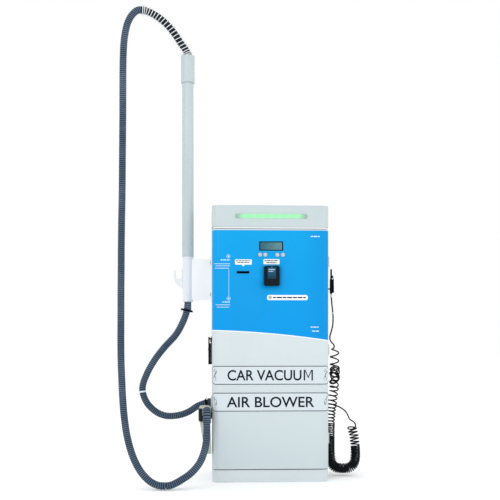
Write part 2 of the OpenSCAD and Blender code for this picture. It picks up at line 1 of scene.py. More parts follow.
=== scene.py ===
import json
import math
import bmesh
import bpy
from mathutils import Matrix, Vector
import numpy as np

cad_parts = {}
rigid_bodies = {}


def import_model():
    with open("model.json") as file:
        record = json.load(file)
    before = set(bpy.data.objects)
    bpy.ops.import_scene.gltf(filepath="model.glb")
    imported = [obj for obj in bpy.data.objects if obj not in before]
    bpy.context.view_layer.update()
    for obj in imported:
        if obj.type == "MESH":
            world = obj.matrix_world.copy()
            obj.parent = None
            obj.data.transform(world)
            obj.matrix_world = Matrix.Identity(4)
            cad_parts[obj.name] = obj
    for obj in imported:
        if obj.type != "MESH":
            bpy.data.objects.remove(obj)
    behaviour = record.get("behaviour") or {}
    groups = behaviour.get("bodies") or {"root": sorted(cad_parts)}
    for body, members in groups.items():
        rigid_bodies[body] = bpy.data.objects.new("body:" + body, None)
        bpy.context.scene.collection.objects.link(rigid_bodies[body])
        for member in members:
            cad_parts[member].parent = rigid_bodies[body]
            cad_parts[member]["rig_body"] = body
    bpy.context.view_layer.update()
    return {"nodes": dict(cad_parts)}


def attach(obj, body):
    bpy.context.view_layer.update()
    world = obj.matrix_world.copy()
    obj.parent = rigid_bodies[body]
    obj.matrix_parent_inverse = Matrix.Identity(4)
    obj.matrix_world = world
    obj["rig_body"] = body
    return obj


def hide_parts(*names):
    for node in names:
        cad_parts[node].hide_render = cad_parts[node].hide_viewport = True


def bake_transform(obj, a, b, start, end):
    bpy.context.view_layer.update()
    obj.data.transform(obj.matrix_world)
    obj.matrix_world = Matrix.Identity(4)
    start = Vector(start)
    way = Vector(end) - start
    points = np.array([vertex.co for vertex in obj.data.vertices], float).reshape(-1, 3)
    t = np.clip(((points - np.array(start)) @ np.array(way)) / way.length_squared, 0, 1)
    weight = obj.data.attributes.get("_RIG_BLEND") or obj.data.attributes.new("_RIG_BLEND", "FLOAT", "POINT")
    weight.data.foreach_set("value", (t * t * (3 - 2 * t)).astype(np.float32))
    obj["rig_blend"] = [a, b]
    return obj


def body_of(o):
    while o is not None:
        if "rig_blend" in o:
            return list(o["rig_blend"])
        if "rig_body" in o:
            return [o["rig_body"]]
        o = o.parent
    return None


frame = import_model()
upright = (math.radians(90), 0, 0)  # stands a flat piece up, facing the front
print("frame loaded,", len(frame["nodes"]), "parts")

cameraSetup = {"place": (-0.35, -5.225, 0.80), "turn": -2.71, "lens": 66.2, "lift": 0.171}
bpy.ops.object.camera_add(location=cameraSetup["place"], rotation=(math.radians(90), 0,
    math.radians(cameraSetup["turn"])))
camera = bpy.context.object
camera.data.lens = cameraSetup["lens"]
camera.data.shift_y = cameraSetup["lift"]
camera.data.clip_end = 80
bpy.context.scene.camera = camera


def paint(red, green, blue):
    # a screen colour from 0 to 255, as the shader wants it
    steps = [c / 255 for c in (red, green, blue)]
    return tuple(c / 12.92 if c <= 0.04045 else ((c + 0.055) / 1.055) ** 2.4 for c in steps) + (1.0,)


class Wire:
    # one socket of a finish, so that shader maths reads as sums
    def __init__(self, finish, socket):
        self.finish = finish
        self.socket = socket

    def work(self, operation, *values):
        return self.finish.maths(operation, *values)

    def __add__(self, other):
        return self.work("ADD", self, other)

    def __radd__(self, other):
        return self.work("ADD", other, self)

    def __sub__(self, other):
        return self.work("SUBTRACT", self, other)

    def __rsub__(self, other):
        return self.work("SUBTRACT", other, self)

    def __mul__(self, other):
        return self.work("MULTIPLY", self, other)

    def __rmul__(self, other):
        return self.work("MULTIPLY", other, self)

    def __truediv__(self, other):
        return self.work("DIVIDE", self, other)

    def __rtruediv__(self, other):
        return self.work("DIVIDE", other, self)

    def __pow__(self, other):
        return self.work("POWER", self, other)

    def __gt__(self, other):
        return self.work("GREATER_THAN", self, other)

    def __lt__(self, other):
        return self.work("LESS_THAN", self, other)

    def __abs__(self):
        return self.work("ABSOLUTE", self)


class Finish:
    def __init__(self, name, **steady):
        self.material = bpy.data.materials.new(name)
        self.material.use_nodes = True
        self.tree = self.material.node_tree
        self.tree.nodes.clear()
        self.shader = self.tree.nodes.new("ShaderNodeBsdfPrincipled")
        output = self.tree.nodes.new("ShaderNodeOutputMaterial")
        self.tree.links.new(self.shader.outputs[0], output.inputs[0])
        for socket, value in steady.items():
            self.shader.inputs[socket.replace("_", " ")].default_value = value

    def node(self, kind, settings, sockets, out=0):
        made = self.tree.nodes.new(kind)
        for key, value in settings.items():
            if key == "stops":
                ramp = made.color_ramp
                while len(ramp.elements) < len(value):
                    ramp.elements.new(0.5)
                for stop, (place, colour) in zip(ramp.elements, value):
                    stop.position, stop.color = place, colour
            else:
                setattr(made, key, value)
        for key, value in sockets.items():
            self.plug(value, made.inputs[key])
        return Wire(self, made.outputs[out])

    def maths(self, operation, *values):
        return self.node("ShaderNodeMath", {"operation": operation}, dict(enumerate(values)))

    def plug(self, value, socket):
        if isinstance(value, Wire):
            self.tree.links.new(value.socket, socket)
        else:
            socket.default_value = value

    def feed(self, socket, value):
        self.plug(value, self.shader.inputs[socket])
        return self

    def place(self):
        return self.node("ShaderNodeTexCoord", {}, {}, "Object")

    def axes(self):
        split = self.node("ShaderNodeSeparateXYZ", {}, {0: self.place()})
        return [Wire(self, o) for o in split.socket.node.outputs]

    def stretched(self, across, deep, high):
        return self.node("ShaderNodeMapping", {}, {"Vector": self.place(), "Scale": (across, deep, high)})

    def noise(self, scale, detail=2.0, rough=0.5, place=None, out="Fac"):
        return self.node("ShaderNodeTexNoise", {}, {"Vector": place or self.place(), "Scale": scale, "Detail": detail,
            "Roughness": rough}, out)

    def span(self, value, low, high, toLow=0.0, toHigh=1.0):
        return self.node("ShaderNodeMapRange", {}, {0: value, 1: low, 2: high, 3: toLow, 4: toHigh})

    def mix(self, share, first, second):
        return self.node("ShaderNodeMix", {"data_type": "RGBA"}, {0: share, 6: first, 7: second}, 2)

    def bump(self, height, strength, distance=0.001):
        self.feed("Normal", self.node("ShaderNodeBump", {}, {"Strength": strength, "Distance": distance,
            "Height": height}))
        return self


def coat(name, colour, darker, grain=900.0, bump=0.05, rough=0.38, clear=0.1):
    # sprayed and baked paint: a fine skin, with slow changes of tone
    f = Finish(name, Metallic=0.0, Coat_Roughness=0.2)
    slow = f.span(f.noise(2.5, 3.0), 0.35, 0.65)
    f.feed("Base Color", f.mix(slow, colour, darker))
    f.feed("Coat Weight", f.span(f.noise(60.0), 0.3, 0.7, clear * 0.5, clear * 1.5))
    f.feed("Roughness", f.span(f.noise(grain * 0.3), 0.3, 0.7, rough - 0.05, rough + 0.07))
    return f.bump(f.noise(grain, 1.0), bump, 0.0004)


def plastic(name, colour, worn, grain=1400.0, bump=0.12, rough=0.5, shine=0.14):
    # moulded plastic with a spark-eroded skin
    f = Finish(name, Specular_IOR_Level=shine)
    f.feed("Base Color", f.mix(f.span(f.noise(18.0, 4.0), 0.4, 0.75), colour, worn))
    f.feed("Roughness", f.span(f.noise(35.0, 3.0), 0.3, 0.7, rough - 0.08, rough + 0.1))
    return f.bump(f.noise(grain, 2.0), bump, 0.0004)


def metal(name, colour, shade, rough=0.3, brush=(40.0, 40.0, 900.0), bump=0.08):
    # rolled or turned metal, brushed along one way
    f = Finish(name, Metallic=1.0)
    grain = f.noise(1.0, 3.0, 0.6, f.stretched(*brush))
    f.feed("Base Color", f.mix(f.span(grain, 0.3, 0.7), colour, shade))
    f.feed("Roughness", f.span(f.noise(14.0, 3.0), 0.3, 0.7, rough - 0.08, rough + 0.1))
    return f.bump(grain, bump, 0.0003)


finishes = {
    "cabinetPaint": coat("cabinetPaint", paint(207, 216, 220), paint(202, 212, 216)),
    "headerPaint": coat("headerPaint", paint(196, 209, 211), paint(191, 204, 207)),
    "mastPaint": coat("mastPaint", paint(191, 204, 207), paint(185, 198, 201), rough=0.33),
    "bracketPaint": coat("bracketPaint", paint(246, 248, 249), paint(241, 244, 245), rough=0.33),
    "spigotPaint": coat("spigotPaint", paint(228, 234, 238), paint(222, 229, 233), rough=0.33),
    "black": plastic("blackPlastic", paint(6, 10, 19), paint(15, 21, 32), shine=0.08),
    "cup": plastic("cupPlastic", paint(10, 14, 20), paint(22, 28, 36), rough=0.38),
    "bin": plastic("binPlastic", paint(52, 55, 58), paint(64, 67, 70), grain=700.0),
    "gunBlack": plastic("gunBlack", paint(3, 6, 12), paint(12, 17, 25), rough=0.36, shine=0.08),
    "nozzle": plastic("nozzlePlastic", paint(186, 191, 178), paint(170, 174, 156), rough=0.46, shine=0.3),
    "zinc": metal("zincPlate", (0.55, 0.58, 0.6, 1), (0.43, 0.45, 0.47, 1), 0.36, (120.0, 120.0, 120.0)),
    "steel": metal("turnedSteel", (0.66, 0.68, 0.7, 1), (0.54, 0.56, 0.58, 1), 0.22),
    "wire": metal("springWire", (0.9, 0.93, 0.95, 1), (0.78, 0.81, 0.84, 1), 0.3, (300.0, 300.0, 300.0)),
    "drum": metal("drumSheet", (0.6, 0.62, 0.63, 1), (0.48, 0.5, 0.52, 1), 0.34, (30.0, 30.0, 1200.0)),
    "brass": metal("turnedBrass", (0.72, 0.52, 0.2, 1), (0.55, 0.38, 0.14, 1), 0.3, (900.0, 40.0, 40.0)),
    "cast": coat("castPaint", paint(92, 99, 108), paint(74, 81, 90), grain=260.0, bump=0.3, rough=0.5),
    "seal": plastic("sealFoam", paint(26, 26, 27), paint(40, 40, 41), grain=2400.0, bump=0.4, rough=0.8),
    "module": plastic("modulePlastic", paint(196, 199, 200), paint(184, 187, 188), grain=900.0, shine=0.3),
}


def pleatedPaper():
    f = Finish("filterPaper", Roughness=0.85)
    x, y = f.axes()[:2]
    angle = f.maths("ARCTAN2", y - 0.04, x + 0.12)
    fold = f.maths("SINE", angle * 72.0)
    # painted shade: the paper darkens into the pleat folds and is lighter on the crests
    f.feed("Base Color", f.mix(f.span(fold, -1.0, 1.0), paint(208, 196, 168), paint(236, 230, 212)))
    return f.bump(fold + f.noise(500.0) * 0.4, 0.7, 0.003)


finishes["paper"] = pleatedPaper()
print("plain finishes ready")


def deselect():
    if bpy.context.object and bpy.context.object.mode != "OBJECT":
        bpy.ops.object.mode_set(mode="OBJECT")
    bpy.ops.object.select_all(action="DESELECT")


def choose(piece):
    deselect()
    piece.select_set(True)
    bpy.context.view_layer.objects.active = piece
    return piece


def settle(name, finish=None, body=None, smooth=35.0):
    # the active piece's place goes into its mesh, and it takes its name, finish and body
    piece = choose(bpy.context.object)
    bpy.ops.object.transform_apply(location=True, rotation=True, scale=True)
    piece.name = piece.data.name = name
    if finish:
        piece.data.materials.clear()
        piece.data.materials.append(finish.material)
    bpy.ops.object.shade_smooth_by_angle(angle=math.radians(smooth))
    if body:
        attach(piece, body)
    return piece


def pick(piece, test, kind="FACE"):
    # edit mode, with only the faces or edges that pass the test selected
    choose(piece)
    bpy.ops.object.mode_set(mode="EDIT")
    bpy.ops.mesh.select_mode(type=kind)
    bpy.ops.mesh.select_all(action="DESELECT")
    cage = bmesh.from_edit_mesh(piece.data)
    if kind == "FACE":
        for face in cage.faces:
            face.select_set(bool(test(face.calc_center_median(), face.normal)))
    else:
        for edge in cage.edges:
            a, b = edge.verts[0].co, edge.verts[1].co
            edge.select_set(bool(test((a + b) / 2, (b - a).normalized())))
    bmesh.update_edit_mesh(piece.data)


def done():
    bpy.ops.object.mode_set(mode="OBJECT")


def outward(piece):
    pick(piece, lambda c, n: True)
    bpy.ops.mesh.remove_doubles(threshold=0.00001)
    bpy.ops.mesh.select_all(action="SELECT")
    bpy.ops.mesh.normals_make_consistent(inside=False)
    done()


def rounded(piece, width, segments=2, angle=40.0):
    choose(piece)
    edge = piece.modifiers.new("rounded", "BEVEL")
    edge.width, edge.segments = width, segments
    edge.limit_method, edge.angle_limit = "ANGLE", math.radians(angle)
    edge.harden_normals = True
    bpy.ops.object.modifier_apply(modifier=edge.name)


def addBlock(low, high):
    deselect()
    bpy.ops.mesh.primitive_cube_add(size=1, location=[(a + b) / 2 for a, b in zip(low, high)])
    piece = bpy.context.object
    piece.scale = [b - a for a, b in zip(low, high)]
    bpy.ops.object.transform_apply(location=True, rotation=True, scale=True)
    return piece


def addRod(start, end, radius, sides=32):
    deselect()
    a, b = Vector(start), Vector(end)
    bpy.ops.mesh.primitive_cylinder_add(vertices=sides, radius=radius, depth=(b - a).length, location=(a + b) / 2,
        rotation=(b - a).to_track_quat("Z", "Y").to_euler())
    bpy.ops.object.transform_apply(location=True, rotation=True, scale=True)
    return bpy.context.object


def joinAll(pieces):
    choose(pieces[0])
    for piece in pieces:
        piece.select_set(True)
    if len(pieces) > 1:
        bpy.ops.object.join()
    return bpy.context.object


def soften(node, width, finish, name=None, segments=2):
    # a copy of a CAD part with its edges rounded stands in for it
    original = frame["nodes"][node]
    body = original["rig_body"] if "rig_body" in original else body_of(original)[0]
    copy = original.copy()
    copy.data = original.data.copy()
    for key in [k for k in copy.keys() if k.startswith("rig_")]:
        del copy[key]
    copy.parent = None
    copy.matrix_world = Matrix.Identity(4)
    bpy.context.collection.objects.link(copy)
    pick(copy, lambda c, n: True)
    bpy.ops.mesh.remove_doubles(threshold=0.00001)
    bpy.ops.mesh.select_all(action="SELECT")
    bpy.ops.mesh.dissolve_limited(angle_limit=math.radians(0.4))
    done()
    rounded(copy, width, segments)
    settle(name or node + "_softened", finish, body)
    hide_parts(node)
    return copy


def evenly(points, gap):
    ends = [0.0]
    for a, b in zip(points, points[1:]):
        ends.append(ends[-1] + (b - a).length)
    count = max(2, round(ends[-1] / gap))
    even, i = [], 0
    for k in range(count + 1):
        want = ends[-1] * k / count
        while i < len(points) - 2 and ends[i + 1] < want:
            i += 1
        span = ends[i + 1] - ends[i]
        even.append(points[i].lerp(points[i + 1], min(1.0, (want - ends[i]) / span) if span else 0.0))
    return even


def curved(stations, steps=24):
    # smooth curve through the stations, given in millimetres
    points = [Vector(p) / 1000 for p in stations]
    dense = []
    for i in range(len(points) - 1):
        a, b = points[max(i - 1, 0)], points[i]
        c, d = points[i + 1], points[min(i + 2, len(points) - 1)]
        for k in range(steps):
            t = k / steps
            dense.append(0.5 * (2 * b + (c - a) * t + (2 * a - 5 * b + 4 * c - d) * t ** 2
                + (3 * b - 3 * c + d - a) * t ** 3))
    return dense + [points[-1]]


def sweep(name, path, radius, sides, finish):
    # closed tube along the path; radius is worked out from how far along it is
    cage = bmesh.new()
    along = cage.verts.layers.float.new("along")
    rings, across, far = [], None, 0.0
    for i, point in enumerate(path):
        ahead = (path[min(i + 1, len(path) - 1)] - path[max(i - 1, 0)]).normalized()
        across = ahead.orthogonal() if across is None else across - ahead * across.dot(ahead)
        across.normalize()
        beside = ahead.cross(across)
        far += (point - path[i - 1]).length if i else 0.0
        ring = []
        for k in range(sides):
            turn = math.tau * k / sides
            vert = cage.verts.new(point + radius(far) * (math.cos(turn) * across + math.sin(turn) * beside))
            vert[along] = far
            ring.append(vert)
        rings.append(ring)
    for a, b in zip(rings, rings[1:]):
        for k in range(sides):
            cage.faces.new((a[k], a[(k + 1) % sides], b[(k + 1) % sides], b[k]))
    cage.faces.new(list(reversed(rings[0])))
    cage.faces.new(rings[-1])
    bmesh.ops.recalc_face_normals(cage, faces=cage.faces)
    mesh = bpy.data.meshes.new(name)
    cage.to_mesh(mesh)
    cage.free()
    piece = bpy.data.objects.new(name, mesh)
    bpy.context.collection.objects.link(piece)
    mesh.materials.append(finish.material)
    choose(piece)
    bpy.ops.object.shade_smooth_by_angle(angle=math.radians(50))
    return piece


def routeLength(path):
    return sum((b - a).length for a, b in zip(path, path[1:]))


suctionHose = {"radius": 0.0200, "valley": 0.0178, "pitch": 0.0105, "rings": 6}
mast = {"x": -455.0, "y": -25.0, "swing": math.radians(20)}
guideRoute = [(0, 2379), (12, 2402), (40, 2442), (74, 2487), (113, 2529), (158, 2564), (203, 2587), (246, 2599),
    (275, 2600)]


def leaning(reach, height):
    return (mast["x"] - reach * math.cos(mast["swing"]), mast["y"] - reach * math.sin(mast["swing"]), height)


inletRoute = [(-320, -25, 420), (-350, -25, 420), (-400, -25, 402), (-450, -25, 370), (-510, -25, 350),
    (-580, -25, 348),
    (-640, -25, 375), (-690, -25, 430), (-710, -25, 503), (-686, -25, 582), (-642, -25, 661), (-587, -25, 733),
    (-523, -25, 804), (-483, -25, 876), (-461, -25, 939), (-455, -25, 995), (-455, -25, 1060), (-455, -25, 2378)]
dropRoute = [leaning(0, 2378.5)] + [leaning(g[0], g[1] + 9 * (1 - min(g[0], 40) / 40)) for g in guideRoute] + [
    (-732, -126, 2594), (-750, -132, 2578), (-768, -139, 2552), (-785, -145, 2512), (-796, -150, 2460),
    (-803, -153, 2400),
    (-807, -154, 2300), (-808, -156, 2160), (-808, -158, 2020), (-809, -161, 1870), (-810, -164, 1720),
    (-811, -168, 1570),
    (-813, -174, 1430), (-814, -182, 1290), (-814, -191, 1150), (-814, -202, 1020), (-813, -215, 900),
    (-812, -232, 780),
    (-809, -252, 670), (-803, -276, 570), (-796, -302, 470), (-785, -332, 370), (-767, -364, 270), (-737, -396, 175),
    (-697, -422, 100), (-650, -441, 50), (-605, -450, 26), (-560, -452, 21)]
riserRoute = [(-560, -452, 21), (-530, -450, 26), (-488, -439, 45), (-431, -422, 82), (-387, -395, 130),
    (-363, -358, 182),
    (-352, -320, 228), (-349, -288, 268), (-348, -271, 300), (-348, -266, 326), (-348, -266, 340), (-348, -266, 353)]


def hosePlastic(name, shaded=0.0):
    # ribbed hose: painted shade darkens the grooves, and the crests are lighter from wear and a painted highlight
    f = Finish(name, Specular_IOR_Level=0.22)
    far = f.node("ShaderNodeAttribute", {"attribute_name": "along"}, {}, "Fac")
    rib = f.span(f.maths("COSINE", far * (math.tau / suctionHose["pitch"])), -0.7, 0.9)
    wearAndHighlight = f.span(f.noise(9.0, 4.0, 0.6), 0.45, 0.75)
    # painted shade: near black in the grooves, the hose's blue-grey on the crests
    plain = f.mix(rib, paint(8, 16, 28), paint(80, 102, 128))
    # painted highlight mixed with wear: the crests lighten in patches
    tone = f.mix(rib * wearAndHighlight * 0.45, plain, paint(138, 158, 178))
    if shaded:
        # painted shadow: the hose darkens along the stretch that runs inside the spring guide
        tone = f.mix((far < shaded) * 0.85, tone, paint(6, 9, 16))
    f.feed("Base Color", tone)
    f.feed("Roughness", f.span(f.noise(30.0, 3.0), 0.3, 0.7, 0.36, 0.52))
    return f.bump(f.noise(1500.0), 0.1, 0.0003)


finishes["hose"] = hosePlastic("hosePlastic")
# the drop hose's finish, with a painted shadow where it runs inside the spring guide
finishes["hoseShadowUnderSpring"] = hosePlastic("hoseShadowUnderSpring", 0.372)


def ribbed(far):
    low, high = suctionHose["valley"], suctionHose["radius"]
    wave = 0.5 + 0.5 * math.cos(math.tau * far / suctionHose["pitch"])
    return low + (high - low) * wave ** 0.7


def hose(name, stations, node, sides, finish="hose"):
    path = evenly(curved(stations), suctionHose["pitch"] / suctionHose["rings"])
    piece = sweep(name, path, ribbed, sides, finishes[finish])
    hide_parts(node)
    sparse = path[::8] + ([path[-1]] if (len(path) - 1) % 8 else [])
    round(routeLength(path), 3)
    print(name, "is", round(routeLength(path), 3), "m long")
    return piece


hoseInlet = hose("hoseInlet", inletRoute, "hose_inlet", 16)
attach(hoseInlet, "cabinet")
hoseDrop = hose("hoseDrop", dropRoute, "hose_drop", 18, "hoseShadowUnderSpring")
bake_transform(hoseDrop, "mast", "cabinet", start=(-0.80, -0.16, 2.35), end=(-0.80, -0.16, 0.4))
hoseRiser = hose("hoseRiser", riserRoute, "hose_riser", 20)
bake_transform(hoseRiser, "cabinet", "nozzle", start=(-0.37, -0.36, 0.16), end=(-0.348, -0.27, 0.32))

airHose = {"radius": 0.004, "coil": 0.0245, "stagger": 0.0034, "steps": 25, "ease": 0.06}
coilRoute = [(379, 10, 740), (382, 10, 640), (382, 10, 560), (377, 10, 480), (367, 10, 400), (359, 10, 330),
    (356.5, 10, 260),
    (356, 10, 195), (356, 10, 130), (358, 10, 95), (366, 10, 66),
    (381, 10, 48), (402, 10, 40.5), (430, 10, 39.5), (458, 10, 40.5), (479, 10, 48), (494, 10, 66), (501.5, 10, 95),
    (503, 10, 130),
    (500, 10, 180), (492, 10, 235), (478, 10, 290)]
gunTail = [(349, -90, 1037), (351, -90, 1000), (355, -90, 960), (359, -88, 923), (361, -82, 885), (359, -72, 850),
    (353, -60, 820),
    (348, -48, 797), (350, -34, 778), (361, -16, 762), (374, 1, 751), (380, 8, 744)]
wallTail = [(478, 10, 286), (478, 14, 298), (475, 17, 312), (465, 14, 331), (455, 6, 350), (442, -6, 368),
    (423, -17, 383),
    (400, -29, 396), (375, -43, 407), (352, -55, 413.5), (340, -59, 415), (332, -60, 415)]
# how far down the coil each stretch ends, its pitch, its lean and how untidy it is; all in metres
coilPlan = [(0.118, 0.0440, 0.004, 0.2), (0.200, 0.0125, 0.0215, 1.0), (0.330, 0.0262, 0.004, 0.3),
    (0.440, 0.0190, 0.003, 0.15),
    (0.515, 0.0120, 0.002, 0.1), (-0.125, 0.0086, 0.0, 0.0), (-0.028, 0.0185, 0.004, 0.2),
    (0.0, 0.0240, -0.0225, 0.0)]


def coilPath():
    # the hose wound round the middle of the coil, seen along the coil with the outer side first
    line = evenly(curved(coilRoute), 0.001)
    whole = routeLength(line)
    ends = [plan[0] if plan[0] > 0 else whole + plan[0] for plan in coilPlan]
    starts = [0.0] + ends[:-1]
    total = sum((end - start) / plan[1] for start, end, plan in zip(starts, ends, coilPlan))
    path, far, turns, lean, untidy = [], 0.0, 0.25 - total % 1, coilPlan[0][2], coilPlan[0][3]
    while far < whole:
        stage = next((i for i, end in enumerate(ends) if far < end), len(ends) - 1)
        pitch = coilPlan[stage][1]
        lean += (coilPlan[stage][2] - lean) * airHose["ease"]
        untidy += (coilPlan[stage][3] - untidy) * airHose["ease"]
        i = min(int(far / whole * (len(line) - 1)), len(line) - 2)
        centre = line[i].lerp(line[i + 1], far / whole * (len(line) - 1) - i)
        ahead = (line[min(i + 6, len(line) - 1)] - line[max(i - 6, 0)]).normalized()
        side = Vector((ahead.z, 0, -ahead.x))
        turn = math.tau * turns
        radius = airHose["coil"] * min(1.0, 0.08 + far * 26)
        radius += 0.0016 * untidy * math.sin(turns * 2.1)
        nested = min(1.0, max(0.0, (0.150 - centre.z) / 0.030)) * airHose["stagger"] * math.sin(math.pi * turns)
        sway = Vector((0.004 * math.sin(turns * 1.9), 0.003 * math.sin(turns * 1.1 + 1), 0)) * untidy
        tip = lean * math.sin(turn + 0.5 * untidy * math.sin(turns * 1.3)) + 0.005 * untidy * math.sin(turns * 3.7)
        depth = radius * math.sqrt(max(0.1, 1 - (lean / airHose["coil"]) ** 2))
        around = (radius * math.cos(turn) + nested) * side + depth * math.sin(turn) * Vector((0, 1, 0))
        path.append(centre + sway + around - ahead * tip)
        far += pitch / airHose["steps"]
        turns += 1 / airHose["steps"]
    print("coil has", round(total, 1), "turns")
    return path


finishes["airHose"] = plastic("airHosePlastic", paint(4, 7, 14), paint(12, 17, 27), grain=900.0, bump=0.03,
    rough=0.34, shine=0.14)
coil = coilPath()
loopEnd = [tuple(coil[-1] * 1000)] + [(468, 15, 322)] + wallTail[3:]
airPath = evenly(curved(gunTail)[:-1] + coil[:-1] + curved(loopEnd), 0.0062)
airPath = airPath[:1] + [(a + b + c) / 3 for a, b, c in zip(airPath, airPath[1:], airPath[2:])] + airPath[-1:]
airLine = sweep("airHose", airPath, lambda far: airHose["radius"], 12, finishes["airHose"])
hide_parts("air_hose", "air_coil")
lifted = {"start": (0.36, -0.03, 0.66), "end": (0.35, -0.09, 1.02)}
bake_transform(airLine, "cabinet", "air_gun", **lifted)
print("air hose is", round(routeLength(airPath), 2), "m long")


studio = {"floor": 40.0, "sky": 1.0, "key": 34.0, "fill": 12.0}
bpy.ops.mesh.primitive_plane_add(size=studio["floor"], location=(0, 8, 0))
floor = bpy.context.object
floor.name = "studioFloor"
floorFinish = Finish("studioFloor", Roughness=0.7, Specular_IOR_Level=0.1, Emission_Color=(1, 1, 1, 1),
    Emission_Strength=0.1)
floorFinish.feed("Base Color", floorFinish.mix(floorFinish.span(floorFinish.noise(0.6), 0.3, 0.7),
    (0.955, 0.96, 0.965, 1), (0.965, 0.97, 0.975, 1)))
floor.data.materials.append(floorFinish.material)
world = bpy.data.worlds.new("studioSky")
bpy.context.scene.world = world
world.use_nodes = True
world.node_tree.nodes["Background"].inputs["Color"].default_value = (1.0, 1.0, 1.0, 1.0)
world.node_tree.nodes["Background"].inputs["Strength"].default_value = studio["sky"]
bpy.context.scene.view_settings.view_transform = "Standard"
for name, place, size, power in (("keyLight", (-2.6, -3.6, 4.2), 2.4, studio["key"]),
    ("fillLight", (3.2, -3.0, 2.4), 2.0, studio["fill"]),
        ("rimLight", (0.5, 3.0, 3.6), 2.4, studio["fill"])):
    bpy.ops.object.light_add(type="AREA", location=place)
    light = bpy.context.object
    light.name = name
    light.data.size, light.data.energy = size, power
    light.rotation_euler = (Vector((-0.1, 0, 0.9)) - Vector(place)).to_track_quat("-Z", "Y").to_euler()
print("camera, cords and studio ready")


# film line of the door: it falls to the right in one long curve
film = {"top": 1.374, "start": 0.812, "slope": -0.0875, "sag": -0.0977, "line": 0.0045}


def doorPaint():
    f = Finish("doorPaint", Coat_Roughness=0.15, Specular_IOR_Level=0.12)
    x, y, z = f.axes()
    sideways = f.maths("MAXIMUM", abs(x) - 0.28, 0.0)
    forward = f.maths("MAXIMUM", -0.185 - y, 0.0)
    reach = f.maths("SQRT", sideways * sideways + forward * forward)
    outside = reach > 0.039
    edge = film["start"] + film["slope"] * x + film["sag"] * x * x
    blueZone = (z > edge) * (z < film["top"]) * outside
    # painted highlight: a near-white band just below the film's edge
    edgeHighlightZone = (z > edge - film["line"]) * outside * (z < edge)
    # painted light: the blue film is lighter towards the top and darker lower down
    shade = f.span(z, 0.78, 1.37)
    tone = f.mix(shade, paint(0, 149, 225), paint(6, 161, 227))
    # painted shade: the blue darkens towards the right edge, where the door rounds away
    tone = f.mix(f.span(x, 0.18, 0.33) * 0.6, tone, paint(0, 133, 206))
    tone = f.mix(f.span(f.noise(3.0, 3.0), 0.3, 0.7) * 0.25, tone, paint(0, 152, 226))
    # painted shade: the white paint darkens towards the bottom of the door
    low = f.span(z, 0.1, 0.8)
    white = f.mix(low, paint(198, 210, 214), paint(209, 219, 222))
    white = f.mix(edgeHighlightZone, white, paint(250, 252, 253))
    f.feed("Base Color", f.mix(blueZone, white, tone))
    f.feed("Roughness", f.span(f.noise(240.0), 0.3, 0.7, 0.3, 0.42) - blueZone * 0.04)
    f.feed("Coat Weight", blueZone * 0.02 + 0.01)
    return f.bump(f.noise(800.0, 1.0) + blueZone * 0.4, 0.05, 0.0004)


def litStrip():
    # frosted strip over a row of lamps
    f = Finish("litStrip", Roughness=0.35, Emission_Strength=0.55, Specular_IOR_Level=0.2)
    x, y, z = f.axes()
    lamp = f.maths("COSINE", (x - 0.0035) * (math.tau / 0.046))
    lit = f.span(abs(x - 0.0035), 0.150, 0.185, 1.0, 0.0)
    spot = f.span(lamp, 0.1, 1.0) * lit
    middle = f.span(abs(z - 1.4505), 0.0, 0.0115, 1.0, 0.3)
    glow = f.mix(spot * middle, paint(112, 222, 136), paint(150, 246, 172))
    f.feed("Base Color", f.mix(lit, paint(150, 172, 164), paint(140, 198, 152)))
    f.feed("Emission Color", f.mix(lit, paint(58, 84, 78), glow))
    return f.bump(f.noise(900.0), 0.05, 0.0003)


def displayGlass():
    # four rows of twenty cells under glass
    f = Finish("displayGlass", Roughness=0.15, Emission_Strength=0.05, Specular_IOR_Level=0.12)
    x, y, z = f.axes()
    front = y < -0.2235
    column = f.maths("FRACT", (x + 0.053) / 0.0056)
    row = f.maths("FRACT", (z - 1.2715) / 0.0082)
    cell = (column > 0.14) * (column < 0.86) * (row > 0.16) * (row < 0.88)
    field = (abs(x - 0.0025) < 0.056) * (abs(z - 1.2875) < 0.0165)
    written = f.maths("FRACT", f.maths("FLOOR", (x + 0.053) / 0.0056) * 0.617 + f.maths("FLOOR",
        (z - 1.2715) / 0.0082) * 0.377) > 0.42
    grey = f.mix(f.span(x, -0.06, 0.065), paint(48, 104, 120), paint(106, 148, 152))
    frameZone = 1 - (abs(x - 0.0025) < 0.0585) * (abs(z - 1.2875) < 0.0192)
    picture = f.mix(cell * field * (0.12 + 0.5 * written), grey, paint(22, 52, 66))
    picture = f.mix(frameZone, picture, paint(28, 38, 46))
    f.feed("Base Color", f.mix(front, paint(34, 60, 44), picture))
    f.feed("Emission Color", f.mix(front * (1 - frameZone), (0, 0, 0, 1), picture))
    return f


def flangePaint():
    # painted disc on the wall, with a dark ribbed socket for the hose whose ribs are dark and light bands, painted
    # shade in the grooves
    f = Finish("flangePaint", Specular_IOR_Level=0.2)
    x = f.axes()[0]
    disc = x > -0.3255
    wave = f.span(f.maths("COSINE", x * (math.tau / suctionHose["pitch"])), -0.7, 0.9)
    # painted shade: dark bands in the socket's grooves between lighter crests
    f.feed("Base Color", f.mix(disc, f.mix(wave, paint(8, 16, 28), paint(62, 80, 100)), paint(204, 213, 217)))
    f.feed("Roughness", f.span(f.noise(35.0, 3.0), 0.3, 0.7, 0.38, 0.5))
    return f.bump(wave + f.noise(900.0) * 0.2, 0.4, 0.001)


def platePaint():
    f = Finish("plateAluminium", Metallic=0.15)
    grain = f.noise(1.0, 3.0, 0.6, f.stretched(60.0, 60.0, 1400.0))
    f.feed("Base Color", f.mix(f.span(grain, 0.3, 0.7), paint(214, 223, 229), paint(206, 216, 222)))
    f.feed("Roughness", f.span(grain, 0.3, 0.7, 0.34, 0.46))
    return f.bump(grain, 0.06, 0.0003)


